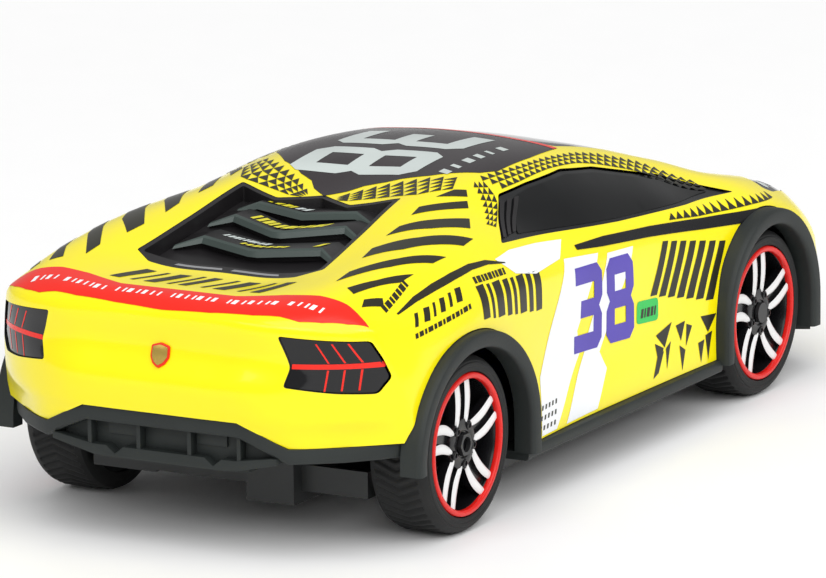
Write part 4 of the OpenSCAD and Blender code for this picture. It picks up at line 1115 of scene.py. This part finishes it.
# ---- Shown CAD nodes ----
# Each look with the nodes that wear it
NODE_LOOKS = [
    (look("chassis_plastic", (0.022, 0.024, 0.024), 0.5, spread=0.12, grain=1500, bump=0.12),
     "chassis_tub gearbox_case gearbox_cover front_top_plate battery_door knuckle_left knuckle_right "
     "tie_rod"),
    (look("part_plastic", (0.016, 0.016, 0.017), 0.38, spread=0.15, grain=1500, bump=0.08),
     "servo_case board_parts switch_knob trim_lever rear_wheel_nuts front_screw_left front_screw_right"),
    (look("steel", (0.52, 0.53, 0.55), 0.28, metal=1.0, spread=0.08, grain=2200, bump=0.06),
     "motor_can idler_pin body_screws gearbox_screws rear_axle motor_shaft"),
    (look("bronze", (0.55, 0.33, 0.14), 0.35, metal=1.0, spread=0.12, grain=2200, bump=0.06), "axle_bushes"),
    (look("brass", (0.70, 0.52, 0.20), 0.25, metal=1.0, spread=0.08, grain=2200, bump=0.05), "motor_pinion"),
    (look("nylon", (0.80, 0.78, 0.70), 0.42, spread=0.04, grain=1200, bump=0.06),
     "axle_gear idler_gear servo_horn"),
    (look("cell_sleeve", (0.03, 0.07, 0.40), 0.25, spread=0.10, grain=500, bump=0.03, coat=0.3),
     "battery_pack"),
    (look("board_resin", (0.02, 0.16, 0.06), 0.35, spread=0.15, grain=1200, bump=0.10), "circuit_board"),
    (look("led_plastic", (0.80, 0.82, 0.85), 0.12, spread=0.03, bump=0.0, coat=0.5), "front_leds"),
    (look("wire_red", (0.55, 0.02, 0.02), 0.4, spread=0.08), "battery_lead motor_leads"),
    (look("wire_black", (0.015, 0.015, 0.015), 0.42, spread=0.12), "antenna_wire"),
    (TRIM, "front_splitter"),
]
BEVELLED = {"chassis_tub", "gearbox_case", "gearbox_cover", "front_top_plate", "battery_door", "servo_case",
            "front_splitter", "switch_knob", "trim_lever", "board_parts", "tie_rod"}
BEVEL_WIDTH, BEVEL_ANGLE = 0.25 * MM, 40
for mat, names in NODE_LOOKS:
    for name in names.split():
        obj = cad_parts[name]
        painted(obj.data, mat)
        if name in BEVELLED:
            mod = obj.modifiers.new("edges", "BEVEL")
            mod.width = BEVEL_WIDTH
            mod.segments = 2
            mod.limit_method = "ANGLE"
            mod.angle_limit = math.radians(BEVEL_ANGLE)
            mod.harden_normals = False

# ---- Floor and light ----
FLOOR_HALF = 6000
floor_mesh = new_mesh("floor", [(x, y, 0) for x, y in rect(-FLOOR_HALF, -FLOOR_HALF, FLOOR_HALF, FLOOR_HALF)],
                      [(0, 1, 2, 3)])
floor = new_object("floor", floor_mesh)
PAPER = look("floor_paper", (0.95, 0.95, 0.95), 0.5, spread=0.005, grain=60, bump=0.0, shine=0.2)
floor.data.materials.append(PAPER)


def light(name, kind, place, aim, power, **settings):
    """A light at a place that looks at a point, with settings of its kind."""
    data = bpy.data.lights.new(name, kind)
    data.energy = power
    for key, value in settings.items():
        setattr(data, key, value)
    obj = new_object(name, data)
    obj.location = place
    obj.rotation_euler = (Vector(aim) - Vector(place)).to_track_quat("-Z", "Y").to_euler()


light("sky_panel", "SUN", (-0.5, -0.5, 1.0), (0, 0, 0), 2.45, angle=math.radians(80))
light("rear_strip", "AREA", (-1.2, 0.1, 0.75), (-0.1, 0, 0.04), 1.6, shape="RECTANGLE", size=0.9, size_y=0.3)
light("side_strip", "AREA", (-0.1, -1.2, 0.7), (0, 0, 0.04), 2.4, shape="RECTANGLE", size=1.0, size_y=0.25)
world = bpy.data.worlds.new("studio")
world.use_nodes = True
backdrop = world.node_tree.nodes["Background"].inputs
backdrop["Color"].default_value = (1.0, 1.0, 1.0, 1)
backdrop["Strength"].default_value = 0.42
bpy.context.scene.world = world
bpy.context.scene.view_settings.view_transform = "Standard"
